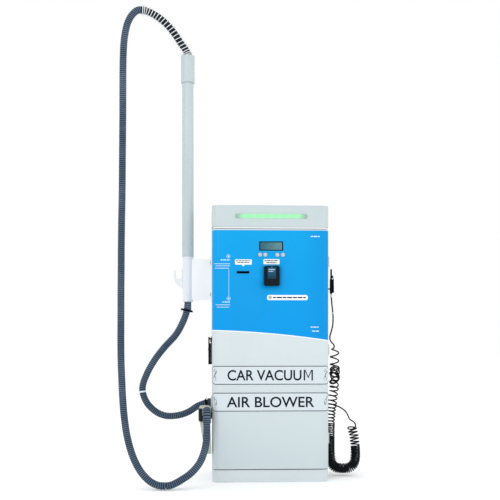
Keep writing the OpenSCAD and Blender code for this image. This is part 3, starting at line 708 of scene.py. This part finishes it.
finishes["door"] = doorPaint()
finishes["led"] = litStrip()
finishes["display"] = displayGlass()
finishes["plate"] = platePaint()
finishes["flange"] = flangePaint()
finishes["ink"] = plastic("darkInk", paint(8, 18, 34), paint(16, 28, 46), bump=0.02, rough=0.4)
finishes["greyInk"] = plastic("greyInk", paint(22, 34, 46), paint(32, 44, 56), bump=0.02, rough=0.45)
finishes["label"] = coat("labelVinyl", paint(240, 244, 246), paint(236, 241, 243), rough=0.4)
finishes["terminal"] = plastic("terminalPlastic", paint(4, 14, 24), paint(8, 20, 32), bump=0.05, rough=0.3)
finishes["screen"] = Finish("terminalScreen", Roughness=0.12, Specular_IOR_Level=0.2, Emission_Strength=0.2)
screenGlow = finishes["screen"]
screenX, screenY, screenZ = screenGlow.axes()
screenTone = screenGlow.mix(screenGlow.span(screenZ, 1.107, 1.169), paint(6, 44, 64), paint(10, 88, 122))
screenGlow.feed("Base Color", screenTone).feed("Emission Color", screenTone)
print("door finishes ready")

softened = {
    "plinth": (0.0010, "cabinetPaint"), "left_wall": (0.0005, "cabinetPaint"), "right_wall": (0.0005, "cabinetPaint"),
    "rear_panel": (0.0005, "cabinetPaint"), "header": (0.0016, "headerPaint"), "door_panel": (0.0006, "door"),
    "mast_bracket": (0.0012, "bracketPaint"), "mast_spigot": (0.0010, "spigotPaint"),
    "hose_hook": (0.0012, "spigotPaint"),
    "mast_tube": (0.0012, "mastPaint"), "mast_collar": (0.0016, "mastPaint"), "outlet_flange": (0.0012, "flange"),
    "nozzle_holder": (0.0010, "cup"), "gun_holder": (0.0005, "black"), "air_gun": (0.0006, "gunBlack"),
    "gun_trigger": (0.0003, "gunBlack"),
    "payment_terminal": (0.0016, "terminal"), "card_slot": (0.0006, "black"), "handle_base": (0.0008, "black"),
    "handle_lever": (0.0022, "black"), "button_rings": (0.0008, "steel"), "button_1": (0.0010, "steel"),
    "button_2": (0.0010, "steel"),
    "button_3": (0.0010, "steel"), "button_4": (0.0010, "steel"), "air_bulkhead": (0.0006, "brass"),
    "door_hinges": (0.0005, "zinc"), "body_hinges": (0.0005, "zinc"), "dust_bin": (0.0012, "bin"),
    "handle_boss": (0.0003, "black"),
    "floor_pan": (0.0005, "cabinetPaint"), "equipment_shelf": (0.0004, "zinc"), "separator_drum": (0.0006, "drum"),
    "vacuum_motor": (0.0015, "cast"), "compressor": (0.0010, "cast"), "air_receiver": (0.0010, "cast"),
    "pressure_regulator": (0.0008, "cast"), "regulator_knob": (0.0010, "black"), "panel_screws": (0.0005, "zinc"),
    "control_modules": (0.0010, "module"), "circuit_breaker": (0.0008, "module"), "breaker_toggle": (0.0004, "black"),
}
plainNodes = {
    "led_diffuser": "led", "filter_cartridge": "paper", "suction_pipe": "black", "vacuum_fan": "drum",
    "compressor_fan": "drum",
    "mounting_plate": "zinc", "door_seal": "seal", "display_window": "display", "lock_bar": "zinc",
}
for node, (width, finish) in softened.items():
    soften(node, width, finishes[finish])
for node, finish in plainNodes.items():
    part = frame["nodes"][node]
    for place in range(max(1, len(part.material_slots))):
        if part.material_slots:
            part.material_slots[place].material = finishes[finish].material
        else:
            part.data.materials.append(finishes[finish].material)
for name, height, wide, radius in (("tailStem", 1.026, 0.022, 0.0048), ("tailFerrule", 0.924, 0.009, 0.0056)):
    near = min(range(60), key=lambda i: abs(airPath[i].z - height))
    ahead = (airPath[near + 1] - airPath[near]).normalized()
    ferrule = addRod(airPath[near] - ahead * wide / 2, airPath[near] + ahead * wide / 2, radius, 28)
    rounded(ferrule, 0.0007)
    settle(name, finishes["steel"], None)
    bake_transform(ferrule, "cabinet", "air_gun", **lifted)
round(routeLength(airPath), 2)


def helixAlong(turns, radius, perTurn):
    # wire wound round the guide's line, in the guide's own upright plane
    line = [Vector((g[0], 0, g[1])) for g in guideRoute]
    line = [p * 1000 for p in curved(line)]
    number = turns * perTurn
    points = []
    for k in range(number + 1):
        spot = k / number * (len(line) - 1) * 0.985
        i = min(int(spot), len(line) - 2)
        centre = line[i].lerp(line[i + 1], spot - i)
        ahead = (line[i + 1] - line[i]).normalized()
        turn = math.tau * k / perTurn
        out = radius * math.cos(turn)
        reach, height = centre.x + out * -ahead.z * -1, centre.z + out * -ahead.x
        side = radius * math.sin(turn)
        x, y = -reach, side
        c, s = math.cos(mast["swing"]), math.sin(mast["swing"])
        points.append(Vector((mast["x"] + x * c - y * s, mast["y"] + x * s + y * c, height)) / 1000)
    return points


springSetup = {"turns": 21, "radius": 29.8, "wire": 0.0024}
springPath = helixAlong(springSetup["turns"], springSetup["radius"], 36)
spring = sweep("springGuide", springPath, lambda far: springSetup["wire"], 10, finishes["wire"])
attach(spring, "mast")
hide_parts("spring_guide")


def bendRoundDoor(piece, half=0.280, radius=0.0400, front=-0.225):
    # flat work drawn at the door's front follows its rounded corners
    for vert in piece.data.vertices:
        x, lift = vert.co.x, front - vert.co.y
        over = abs(x) - half
        if over > 0:
            turn = over / (radius + 0.00075)
            reach = radius + lift
            vert.co.x = math.copysign(half + reach * math.sin(turn), x)
            vert.co.y = front + radius - reach * math.cos(turn)
    piece.data.update()


plateSetup = {"low": (0.387, 0.533), "height": 0.101, "half": 0.3285, "corner": 0.024, "thick": 0.0015,
    "border": 0.0036}


def namePlate(name, low):
    deselect()
    bpy.ops.mesh.primitive_plane_add(size=1, location=(0, -0.225, low + plateSetup["height"] / 2), rotation=upright)
    piece = bpy.context.object
    piece.scale = (2 * plateSetup["half"], plateSetup["height"], 1)
    settle(name, finishes["plate"])
    piece.data.materials.append(finishes["greyInk"].material)
    pick(piece, lambda c, n: True)
    bpy.ops.mesh.bevel(affect="VERTICES", offset=plateSetup["corner"], segments=8)
    bpy.ops.mesh.select_all(action="SELECT")
    bpy.ops.mesh.inset(thickness=plateSetup["border"])
    done()
    pick(piece, lambda c, n: True)
    cage = bmesh.from_edit_mesh(piece.data)
    widest = max(cage.faces, key=lambda face: face.calc_area())
    for face in cage.faces:
        face.material_index = 0 if face is widest else 1
    bmesh.update_edit_mesh(piece.data)
    for side in (-1, 1):
        for k in range(12):
            bpy.ops.mesh.select_all(action="SELECT")
            bpy.ops.mesh.bisect(plane_co=(side * (0.279 + 0.0042 * k), 0, 0), plane_no=(1, 0, 0))
    bpy.ops.mesh.select_all(action="SELECT")
    bpy.ops.mesh.extrude_region_move(TRANSFORM_OT_translate={"value": (0, -plateSetup["thick"], 0)})
    bpy.ops.mesh.select_all(action="SELECT")
    bpy.ops.mesh.normals_make_consistent(inside=False)
    done()
    bendRoundDoor(piece)
    rounded(piece, 0.0003, 2, 60)
    outward(piece)
    settle(name)
    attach(piece, "door")
    return piece


plates = [namePlate("namePlateLower", plateSetup["low"][0]), namePlate("namePlateUpper", plateSetup["low"][1])]
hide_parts("name_plates")


def lettering(name, words, low, high, finish, front, thick=0.0004, weight=0.0):
    # generic words fitted between two corners (x, z) on the door's front
    deselect()
    bpy.ops.object.text_add()
    text = bpy.context.object
    text.data.body = words
    text.data.align_x = "LEFT"
    text.data.extrude = 0.02
    text.data.offset = weight
    text.data.resolution_u = 6
    bpy.ops.object.convert(target="MESH")
    text = choose(bpy.context.object)
    lows = [min(v.co[i] for v in text.data.vertices) for i in range(3)]
    highs = [max(v.co[i] for v in text.data.vertices) for i in range(3)]
    for vert in text.data.vertices:
        x = low[0] + (vert.co.x - lows[0]) / (highs[0] - lows[0]) * (high[0] - low[0])
        z = low[1] + (vert.co.y - lows[1]) / (highs[1] - lows[1]) * (high[1] - low[1])
        y = front - (vert.co.z - lows[2]) / (highs[2] - lows[2]) * thick
        vert.co = (x, y, z)
    outward(text)
    settle(name, finish, "door")
    return text


plateFront = -0.225 - plateSetup["thick"]
lettering("wordVacuum", "CAR VACUU", (-0.236, 0.5545), (0.168, 0.6125), finishes["ink"], plateFront, weight=0.014)
lettering("wordBlower", "AIR BLOWER", (-0.240, 0.4085), (0.238, 0.4665), finishes["ink"], plateFront, weight=0.014)


def letterM(low, high, stem, finish, front, thick=0.0004):
    # last letter of the upper plate, drawn from its outline
    wide, tall, tip, valley = high[0] - low[0], high[1] - low[1], 0.011, 0.0225
    steep = (tall - valley) / (wide / 2 - stem * 1.25)
    half = [(0, 0), (0, tall), (stem * 1.25, tall), (wide / 2, valley)]
    under = tip + steep * (wide / 2 - stem)
    outline = half + [(wide - x, z) for x, z in reversed(half[:3])] + [(wide - stem, 0), (wide - stem, under),
        (wide / 2, tip), (stem, under), (stem, 0)]
    deselect()
    bpy.ops.mesh.primitive_circle_add(vertices=len(outline), radius=1, fill_type="NGON")
    letter = bpy.context.object
    for vert, (x, z) in zip(letter.data.vertices, outline):
        vert.co = (low[0] + x, front, low[1] + z)
    pick(letter, lambda c, n: True)
    bpy.ops.mesh.extrude_region_move(TRANSFORM_OT_translate={"value": (0, -thick, 0)})
    bpy.ops.mesh.select_all(action="SELECT")
    bpy.ops.mesh.normals_make_consistent(inside=False)
    done()
    return settle("letterM", finish, "door")


letterM((0.180, 0.5545), (0.2305, 0.6125), 0.0078, finishes["ink"], plateFront)


def sticker(name, low, high, corner, finish, front=-0.225, thick=0.0003, body="door"):
    # thin flat label with round corners; low and high are (x, z)
    deselect()
    bpy.ops.mesh.primitive_plane_add(size=1, location=((low[0] + high[0]) / 2, front, (low[1] + high[1]) / 2),
        rotation=upright)
    piece = bpy.context.object
    piece.scale = (high[0] - low[0], high[1] - low[1], 1)
    settle(name, finish)
    pick(piece, lambda c, n: True)
    if corner:
        bpy.ops.mesh.bevel(affect="VERTICES", offset=corner, segments=5)
    bpy.ops.mesh.select_all(action="SELECT")
    bpy.ops.mesh.extrude_region_move(TRANSFORM_OT_translate={"value": (0, -thick, 0)})
    bpy.ops.mesh.select_all(action="SELECT")
    bpy.ops.mesh.normals_make_consistent(inside=False)
    done()
    settle(name)
    if body:
        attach(piece, body)
    return piece


def bars(name, rows, finish, front=-0.225, thick=0.0003):
    # lines of print too small to read, drawn as broken bars: (left, right, middle height, thickness)
    pieces = []
    for number, (left, right, height, tall) in enumerate(rows):
        x, k = left, 0
        while x < right - 0.002:
            wide = min(right - x, tall * (2.4 + 1.9 * abs(math.sin(number * 2.3 + k * 1.7))))
            pieces.append(sticker("bar", (x, height - tall / 2), (x + wide, height + tall / 2), tall * 0.3, finish,
                front, thick, None))
            x += wide + tall * 0.55
            k += 1
    piece = joinAll(pieces)
    piece.name = piece.data.name = name
    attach(piece, "door")
    return piece


def ringMark(name, centre, outer, inner, finish, front=-0.225, thick=0.0003):
    deselect()
    bpy.ops.mesh.primitive_circle_add(vertices=40, radius=outer, fill_type="NGON",
        location=(centre[0], front, centre[1]), rotation=upright)
    piece = settle(name, finish)
    pick(piece, lambda c, n: True)
    if inner:
        bpy.ops.mesh.inset(thickness=outer - inner)
        bpy.ops.mesh.delete(type="FACE")
        bpy.ops.mesh.select_all(action="SELECT")
    bpy.ops.mesh.extrude_region_move(TRANSFORM_OT_translate={"value": (0, -thick, 0)})
    bpy.ops.mesh.select_all(action="SELECT")
    bpy.ops.mesh.normals_make_consistent(inside=False)
    done()
    return settle(name)


vinyl, ink = finishes["label"], finishes["ink"]
labelFront = -0.2253
sticker("labelInsert", (-0.195, 1.186), (-0.104, 1.214), 0.004, vinyl)
deselect()
bpy.ops.mesh.primitive_circle_add(vertices=3, radius=0.0085, fill_type="NGON", location=(-0.1495, -0.225, 1.1835),
    rotation=upright)
bpy.context.object.scale = (1.2, 1, 1)
pointer = settle("labelPointer", vinyl)
if min(v.co.z for v in pointer.data.vertices) > 1.178:
    for vert in pointer.data.vertices:
        vert.co.z = 2 * 1.1835 - vert.co.z
pick(pointer, lambda c, n: True)
bpy.ops.mesh.extrude_region_move(TRANSFORM_OT_translate={"value": (0, -0.00025, 0)})
bpy.ops.mesh.select_all(action="SELECT")
bpy.ops.mesh.normals_make_consistent(inside=False)
done()
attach(settle("labelPointer"), "door")
bars("printInsert", [(-0.189, -0.112, 1.2065, 0.0042), (-0.182, -0.118, 1.1975, 0.0042)], ink, labelFront)
sticker("labelTerminal", (-0.040, 1.188), (0.048, 1.216), 0.004, vinyl)
bars("printTerminal", [(-0.034, 0.042, 1.2080, 0.0046), (-0.024, 0.032, 1.1975, 0.0042)], ink, labelFront)
sticker("labelPill", (-0.020, 0.993), (0.203, 1.021), 0.010, vinyl)
pillRing = ringMark("pillRing", (-0.004, 1.007), 0.0085, 0.0062, ink, labelFront)
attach(pillRing, "door")
pillDrop = ringMark("pillDot", (-0.004, 1.007), 0.0030, 0, ink, labelFront)
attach(pillDrop, "door")
bars("printPill", [(0.012, 0.192, 1.007, 0.0068)], ink, labelFront)
bars("printStepOne", [(-0.273, -0.222, 1.211, 0.0042), (-0.307, -0.222, 1.190, 0.0026),
    (-0.300, -0.222, 1.179, 0.0026),
    (-0.304, -0.228, 1.166, 0.0026)], vinyl)
bars("printStepTwo", [(-0.264, -0.222, 0.982, 0.0042), (-0.300, -0.222, 0.967, 0.0026),
    (-0.294, -0.226, 0.954, 0.0026)], vinyl)
bars("printCorner", [(0.219, 0.268, 1.341, 0.0050)], vinyl)
bars("printNotice", [(0.218, 0.262, 0.846, 0.0046), (0.226, 0.266, 0.824, 0.0046)], vinyl)
sticker("stepLine", (-0.2291, 1.013), (-0.2277, 1.160), 0.0, vinyl)
for name, spot in (("stepMarkOne", (-0.231, 1.231)), ("stepMarkTwo", (-0.2295, 1.001))):
    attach(ringMark(name, spot, 0.0095, 0.0080, vinyl), "door")
    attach(ringMark(name + "Dot", spot, 0.0034, 0, vinyl), "door")
def inkLine(points, width, finish, front, thick=0.0003):
    # thin drawn line through a few corners (x, z)
    strips = []
    for (x0, z0), (x1, z1) in zip(points, points[1:]):
        deselect()
        bpy.ops.mesh.primitive_plane_add(size=1, location=((x0 + x1) / 2, front, (z0 + z1) / 2),
            rotation=(math.radians(90), -math.atan2(z1 - z0, x1 - x0), 0))
        strip = bpy.context.object
        strip.scale = (math.hypot(x1 - x0, z1 - z0) + width * 0.7, width, 1)
        settle("strip", finish)
        pick(strip, lambda c, n: True)
        bpy.ops.mesh.extrude_region_move(TRANSFORM_OT_translate={"value": (0, -thick, 0)})
        bpy.ops.mesh.select_all(action="SELECT")
        bpy.ops.mesh.normals_make_consistent(inside=False)
        done()
        strips.append(strip)
    return strips


# small pictures at both ends of the plates: a suction head on its hose, and a blow gun
pictures = {
    "Vacuum": (0.585, [[(-0.012, 0.026), (-0.002, 0.030), (0.008, 0.024), (0.009, 0.014), (0.002, 0.007)],
        [(-0.010, 0.018), (-0.002, 0.021), (0.003, 0.014), (-0.003, 0.005)], [(0.002, 0.007), (-0.003, -0.010)],
        [(-0.003, 0.005), (-0.008, -0.009)],
        [(-0.013, -0.020), (-0.007, -0.008), (-0.001, -0.009), (0.005, -0.021), (-0.013, -0.020)],
        [(-0.010, -0.026), (-0.006, -0.028)], [(0.000, -0.026), (0.004, -0.029)]]),
    "Blower": (0.437, [[(-0.013, 0.030), (-0.006, 0.014)], [(-0.008, 0.031), (-0.001, 0.016)],
    [(-0.006, 0.014), (-0.007, 0.004), (0.001, -0.008)],
        [(-0.001, 0.016), (0.006, 0.010), (0.009, -0.004)], [(0.001, -0.008), (0.009, -0.004), (0.007, -0.016),
        (-0.001, -0.016), (0.001, -0.008)]]),
}
for name, (middle, lines) in pictures.items():
    for side in (-1, 1):
        drawn = []
        for line in lines:
            points = [(side * 0.3035 - side * x if name == "Blower" and side > 0 else side * 0.3035 + x,
                middle + z) for x, z in line]
            drawn += inkLine(points, 0.0020, finishes["greyInk"], plateFront)
        mark = joinAll(drawn)
        mark.name = mark.data.name = "mark" + name + ("Left" if side < 0 else "Right")
        bendRoundDoor(mark)
        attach(mark, "door")
print("door graphics ready")


def headerTrim():
    # light strip that fills the gap between the header and the door
    piece = addBlock((-0.3155, -0.2205, 1.3835), (0.3155, 0.205, 1.3920))
    pick(piece, lambda c, d: abs(d.z) > 0.9 and c.y < -0.2, "EDGE")
    bpy.ops.mesh.bevel(offset=0.0355, segments=10)
    done()
    pick(piece, lambda c, n: n.z > 0.9)
    bpy.ops.mesh.inset(thickness=0.0015)
    bpy.ops.mesh.delete(type="FACE")
    done()
    pick(piece, lambda c, n: n.z < -0.9)
    bpy.ops.mesh.delete(type="FACE")
    done()
    wall = piece.modifiers.new("wall", "SOLIDIFY")
    wall.thickness, wall.offset = 0.0014, -1
    choose(piece)
    bpy.ops.object.modifier_apply(modifier=wall.name)
    return settle("headerTrim", finishes["bracketPaint"], "cabinet")


headerTrim()


nozzleSetup = {"halfDepth": 0.0178, "halfWidth": 0.0258, "neck": 0.0282, "square": 0.28, "bore": 0.025}


def nozzleLoft():
    # round neck above, flat mouth below
    rings = [(0.3310, 0.0300, 1.0), (0.3290, 0.0300, 1.0), (0.3240, 0.0292, 1.0), (0.3180, 0.0282, 0.98)]
    for k in range(1, 13):
        share = k / 12
        rings.append((0.318 - 0.155 * share, None, 1 - share))
    rings += [(0.1595, None, 0.0), (0.1560, None, 0.0)]
    cage = bmesh.new()
    loops = []
    sides = 56

    def roundRing(radius, z):
        return [(radius * math.cos(math.tau * k / sides), radius * math.sin(math.tau * k / sides),
            z) for k in range(sides)]

    def outline(share, lip, wall):
        # share 1 is the round neck and 0 the mouth
        points = []
        for k in range(sides):
            turn = math.tau * k / sides
            c, s = math.cos(turn), math.sin(turn)
            mouth = Vector((math.copysign(abs(c) ** nozzleSetup["square"], c) * (nozzleSetup["halfDepth"] + lip),
                math.copysign(abs(s) ** nozzleSetup["square"], s) * (nozzleSetup["halfWidth"] + lip)))
            neck = Vector((c, s)) * nozzleSetup["neck"]
            mixed = mouth.lerp(neck, share)
            shift = 0.016 * (1 - share)
            size = mixed.length - wall
            points.append(mixed.normalized() * size + Vector((shift, 0)))
        return points

    outer = []
    for z, radius, share in rings:
        lip = 0.0010 if z < 0.162 else 0.0
        if radius:
            outer.append(roundRing(radius, z))
        else:
            outer.append([(p.x, p.y, z) for p in outline(share, lip, 0.0)])
    inner = []
    for z, radius, share in reversed(rings):
        if radius:
            inner.append(roundRing(nozzleSetup["bore"], z))
        else:
            inner.append([(p.x, p.y, z) for p in outline(share, 0.0, 0.0026)])
    neckOut = [(0.3330, 0.0300), (0.3990, 0.0300), (0.4010, 0.0306), (0.4024, 0.0346), (0.4028, 0.0350),
        (0.4046, 0.0350), (0.4050, 0.0346),
        (0.4054, 0.0306), (0.4062, 0.0300), (0.4118, 0.0300), (0.4148, 0.0280), (0.4160, 0.0262), (0.4152, 0.0250)]
    whole = inner + [roundRing(r, z) for z, r in reversed(neckOut)] + outer
    for loop in whole:
        loops.append([cage.verts.new((x - 0.358, y - 0.190, z)) for x, y, z in loop])
    for a, b in zip(loops, loops[1:] + loops[:1]):
        for k in range(sides):
            cage.faces.new((a[k], a[(k + 1) % sides], b[(k + 1) % sides], b[k]))
    bmesh.ops.recalc_face_normals(cage, faces=cage.faces)
    mesh = bpy.data.meshes.new("nozzleShell")
    cage.to_mesh(mesh)
    cage.free()
    piece = bpy.data.objects.new("nozzleShell", mesh)
    bpy.context.collection.objects.link(piece)
    choose(piece)
    settle("nozzleShell", finishes["nozzle"], "nozzle")
    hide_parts("nozzle")
    return piece


def nozzlePort():
    # cap on the neck, and the side port that the elbow plugs into
    cap = addRod((-0.358, -0.190, 0.4125), (-0.358, -0.190, 0.4166), 0.0254, 48)
    pick(cap, lambda c, n: n.z > 0.9)
    bpy.ops.mesh.inset(thickness=0.005)
    bpy.ops.mesh.extrude_region_move(TRANSFORM_OT_translate={"value": (0, 0, 0.0007)})
    done()
    rounded(cap, 0.0006)
    settle("nozzleCap", finishes["nozzle"], "nozzle")
    port = addRod((-0.348, -0.2260, 0.391), (-0.348, -0.2080, 0.391), 0.0246, 48)
    pick(port, lambda c, n: n.y < -0.9)
    bpy.ops.mesh.inset(thickness=0.0022)
    bpy.ops.mesh.extrude_region_move(TRANSFORM_OT_translate={"value": (0, 0.0015, 0)})
    done()
    rounded(port, 0.0007)
    settle("nozzlePort", finishes["nozzle"], "nozzle")


elbow = {"foot": (-0.348, -0.266, 0.329), "turn": 0.034, "lift": 0.357, "root": -0.214, "crest": 0.0222,
    "valley": 0.0208}


def hoseElbow():
    # moulded elbow, ribbed like the hose, from the hose's end into the nozzle's port
    x, y, low = elbow["foot"]
    path = [Vector((x, y, low + (elbow["lift"] - low) * k / 20)) for k in range(20)]
    for k in range(33):
        turn = math.pi / 2 * k / 32
        path.append(Vector((x, y + elbow["turn"] * (1 - math.cos(turn)),
            elbow["lift"] + elbow["turn"] * math.sin(turn))))
    path += [Vector((x, y + elbow["turn"] + (elbow["root"] - y - elbow["turn"]) * k / 10,
        elbow["lift"] + elbow["turn"])) for k in range(1, 11)]

    def girth(far):
        sleeve = min(1.0, max(0.0, (0.026 - far) / 0.002))
        wave = 0.5 + 0.5 * math.cos(math.tau * far / suctionHose["pitch"])
        return elbow["valley"] + (elbow["crest"] - elbow["valley"]) * wave * (1 - sleeve) + 0.0018 * sleeve
    piece = sweep("hoseElbow", evenly(path, 0.0014), girth, 28, finishes["hose"])
    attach(piece, "nozzle")
    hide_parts("hose_cuff")


nozzleLoft()
nozzlePort()
hoseElbow()


def hoseStop():
    # clamp ring that keeps the hose from slipping up into the mast
    deselect()
    bpy.ops.mesh.primitive_cylinder_add(vertices=48, radius=0.0350, depth=0.011, location=(-0.4605, -0.025, 0.9420),
        rotation=(0, math.radians(13), 0))
    ring = settle("hoseStop", finishes["black"])
    pick(ring, lambda c, n: abs(n.z) > 0.9)
    bpy.ops.mesh.inset(thickness=0.0148)
    bpy.ops.mesh.delete(type="FACE")
    done()
    pick(ring, lambda c, d: False, "EDGE")
    cage = bmesh.from_edit_mesh(ring.data)
    for edge in cage.edges:
        edge.select_set(edge.is_boundary)
    bmesh.update_edit_mesh(ring.data)
    bpy.ops.mesh.bridge_edge_loops()
    done()
    outward(ring)
    rounded(ring, 0.0040, 4)
    screw = addRod((-0.4925, -0.052, 0.9390), (-0.4925, 0.002, 0.9390), 0.0032, 20)
    rounded(screw, 0.0006)
    settle("hoseStopScrew", finishes["zinc"], "cabinet")
    choose(ring)
    settle("hoseStop", finishes["black"], "cabinet")


hoseStop()


def ringOn(name, path, at, wide, radius, finish, body):
    # band wrapped round a hose, centred at a distance along it
    ends = [0.0]
    for a, b in zip(path, path[1:]):
        ends.append(ends[-1] + (b - a).length)
    near = min(range(len(ends)), key=lambda i: abs(ends[i] - at))
    ahead = (path[min(near + 3, len(path) - 1)] - path[max(near - 3, 0)]).normalized()
    band = addRod(path[near] - ahead * wide / 2, path[near] + ahead * wide / 2, radius, 40)
    rounded(band, 0.0005)
    return settle(name, finish, body)


inletPath = evenly(curved(inletRoute), 0.004)
tieAt = min(range(len(inletPath)), key=lambda i: (inletPath[i] - Vector((-0.708, -0.025, 0.485))).length) * 0.004
ringOn("hoseTie", inletPath, tieAt, 0.009, 0.0212, finishes["label"], "cabinet")
ringOn("hoseClamp", inletPath, 0.0325, 0.010, 0.0232, finishes["black"], "cabinet")
clampScrew = addRod((-0.352, -0.040, 0.4455), (-0.352, -0.012, 0.4455), 0.0042, 6)
rounded(clampScrew, 0.0005)
settle("clampScrew", finishes["zinc"], "cabinet")


def socketScrew():
    # button-head screw with a hexagon socket, lying along +Z at the origin
    deselect()
    bpy.ops.mesh.primitive_cylinder_add(vertices=24, radius=0.0042, depth=0.0024, location=(0, 0, 0.0012))
    screw = bpy.context.object
    bpy.ops.object.transform_apply(location=True, rotation=True, scale=True)
    pick(screw, lambda c, n: n.z > 0.9)
    bpy.ops.mesh.inset(thickness=0.0018)
    bpy.ops.mesh.extrude_region_move(TRANSFORM_OT_translate={"value": (0, 0, -0.0014)})
    done()
    rounded(screw, 0.0005)
    return settle("socketScrew", finishes["zinc"])


def copied(model, name, turn, places, body):
    pieces = []
    for place in places:
        twin = model.copy()
        twin.data = model.data.copy()
        bpy.context.collection.objects.link(twin)
        twin.matrix_world = Matrix.Translation(place) @ turn
        choose(twin)
        bpy.ops.object.transform_apply(location=True, rotation=True, scale=True)
        pieces.append(twin)
    joined = joinAll(pieces)
    joined.name = joined.data.name = name
    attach(joined, body)
    return joined


screwModel = socketScrew()
outLeft = Matrix.Rotation(math.radians(-90), 4, "Y")
copied(screwModel, "flangeScrews", outLeft, [(-0.325, -0.025 + 0.0325 * math.cos(t),
    0.42 + 0.0325 * math.sin(t)) for t in (0.785, 2.356, 3.927, 5.498)], "cabinet")
copied(screwModel, "handleScrews", outLeft, [(-0.324, -0.160, z) for z in (0.6485,)], "door")
copied(screwModel, "holderScrews", outLeft, [(-0.332, -0.104, z) for z in (0.355, 0.381)], "cabinet")
bpy.data.objects.remove(screwModel)


def terminalDetails():
    sticker("terminalGlass", (-0.0185, 1.1075), (0.0275, 1.1685), 0.002, finishes["screen"], -0.2436, 0.0008, "door")
    bars("terminalPrint", [(-0.012, 0.020, 1.158, 0.0030), (-0.012, 0.012, 1.148, 0.0024)], vinyl, -0.2444, 0.0001)
    lamp = ringMark("terminalLamp", (0.0045, 1.1715), 0.0016, 0, finishes["led"], -0.245, 0.0004)
    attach(lamp, "door")
    waves = [ringMark("wave", (0.0045, 1.094), 0.0050 + 0.0032 * k, 0.0041 + 0.0032 * k, finishes["greyInk"], -0.245,
        0.0002) for k in range(2)]
    mark = joinAll(waves)
    mark.name = mark.data.name = "terminalWaves"
    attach(mark, "door")


terminalDetails()


def displayBezel():
    # slim raised frame round the display
    bezel = sticker("displayBezel", (-0.0625, 1.2625), (0.0675, 1.3125), 0.003, finishes["black"], -0.225, 0.0010,
        None)
    pick(bezel, lambda c, n: n.y < -0.9)
    bpy.ops.mesh.inset(thickness=0.0036)
    bpy.ops.mesh.delete(type="FACE")
    done()
    pick(bezel, lambda c, n: n.y > 0.9)
    bpy.ops.mesh.inset(thickness=0.0036)
    bpy.ops.mesh.delete(type="FACE")
    cage = bmesh.from_edit_mesh(bezel.data)
    bpy.ops.mesh.select_mode(type="EDGE")
    for edge in cage.edges:
        edge.select_set(edge.is_boundary)
    bmesh.update_edit_mesh(bezel.data)
    bpy.ops.mesh.bridge_edge_loops()
    done()
    outward(bezel)
    settle("displayBezel", finishes["black"], "door")


displayBezel()

for piece in bpy.context.scene.objects:
    if piece.type == "MESH" and not piece.data.materials:
        print("no finish on", piece.name)
print("all pieces made")
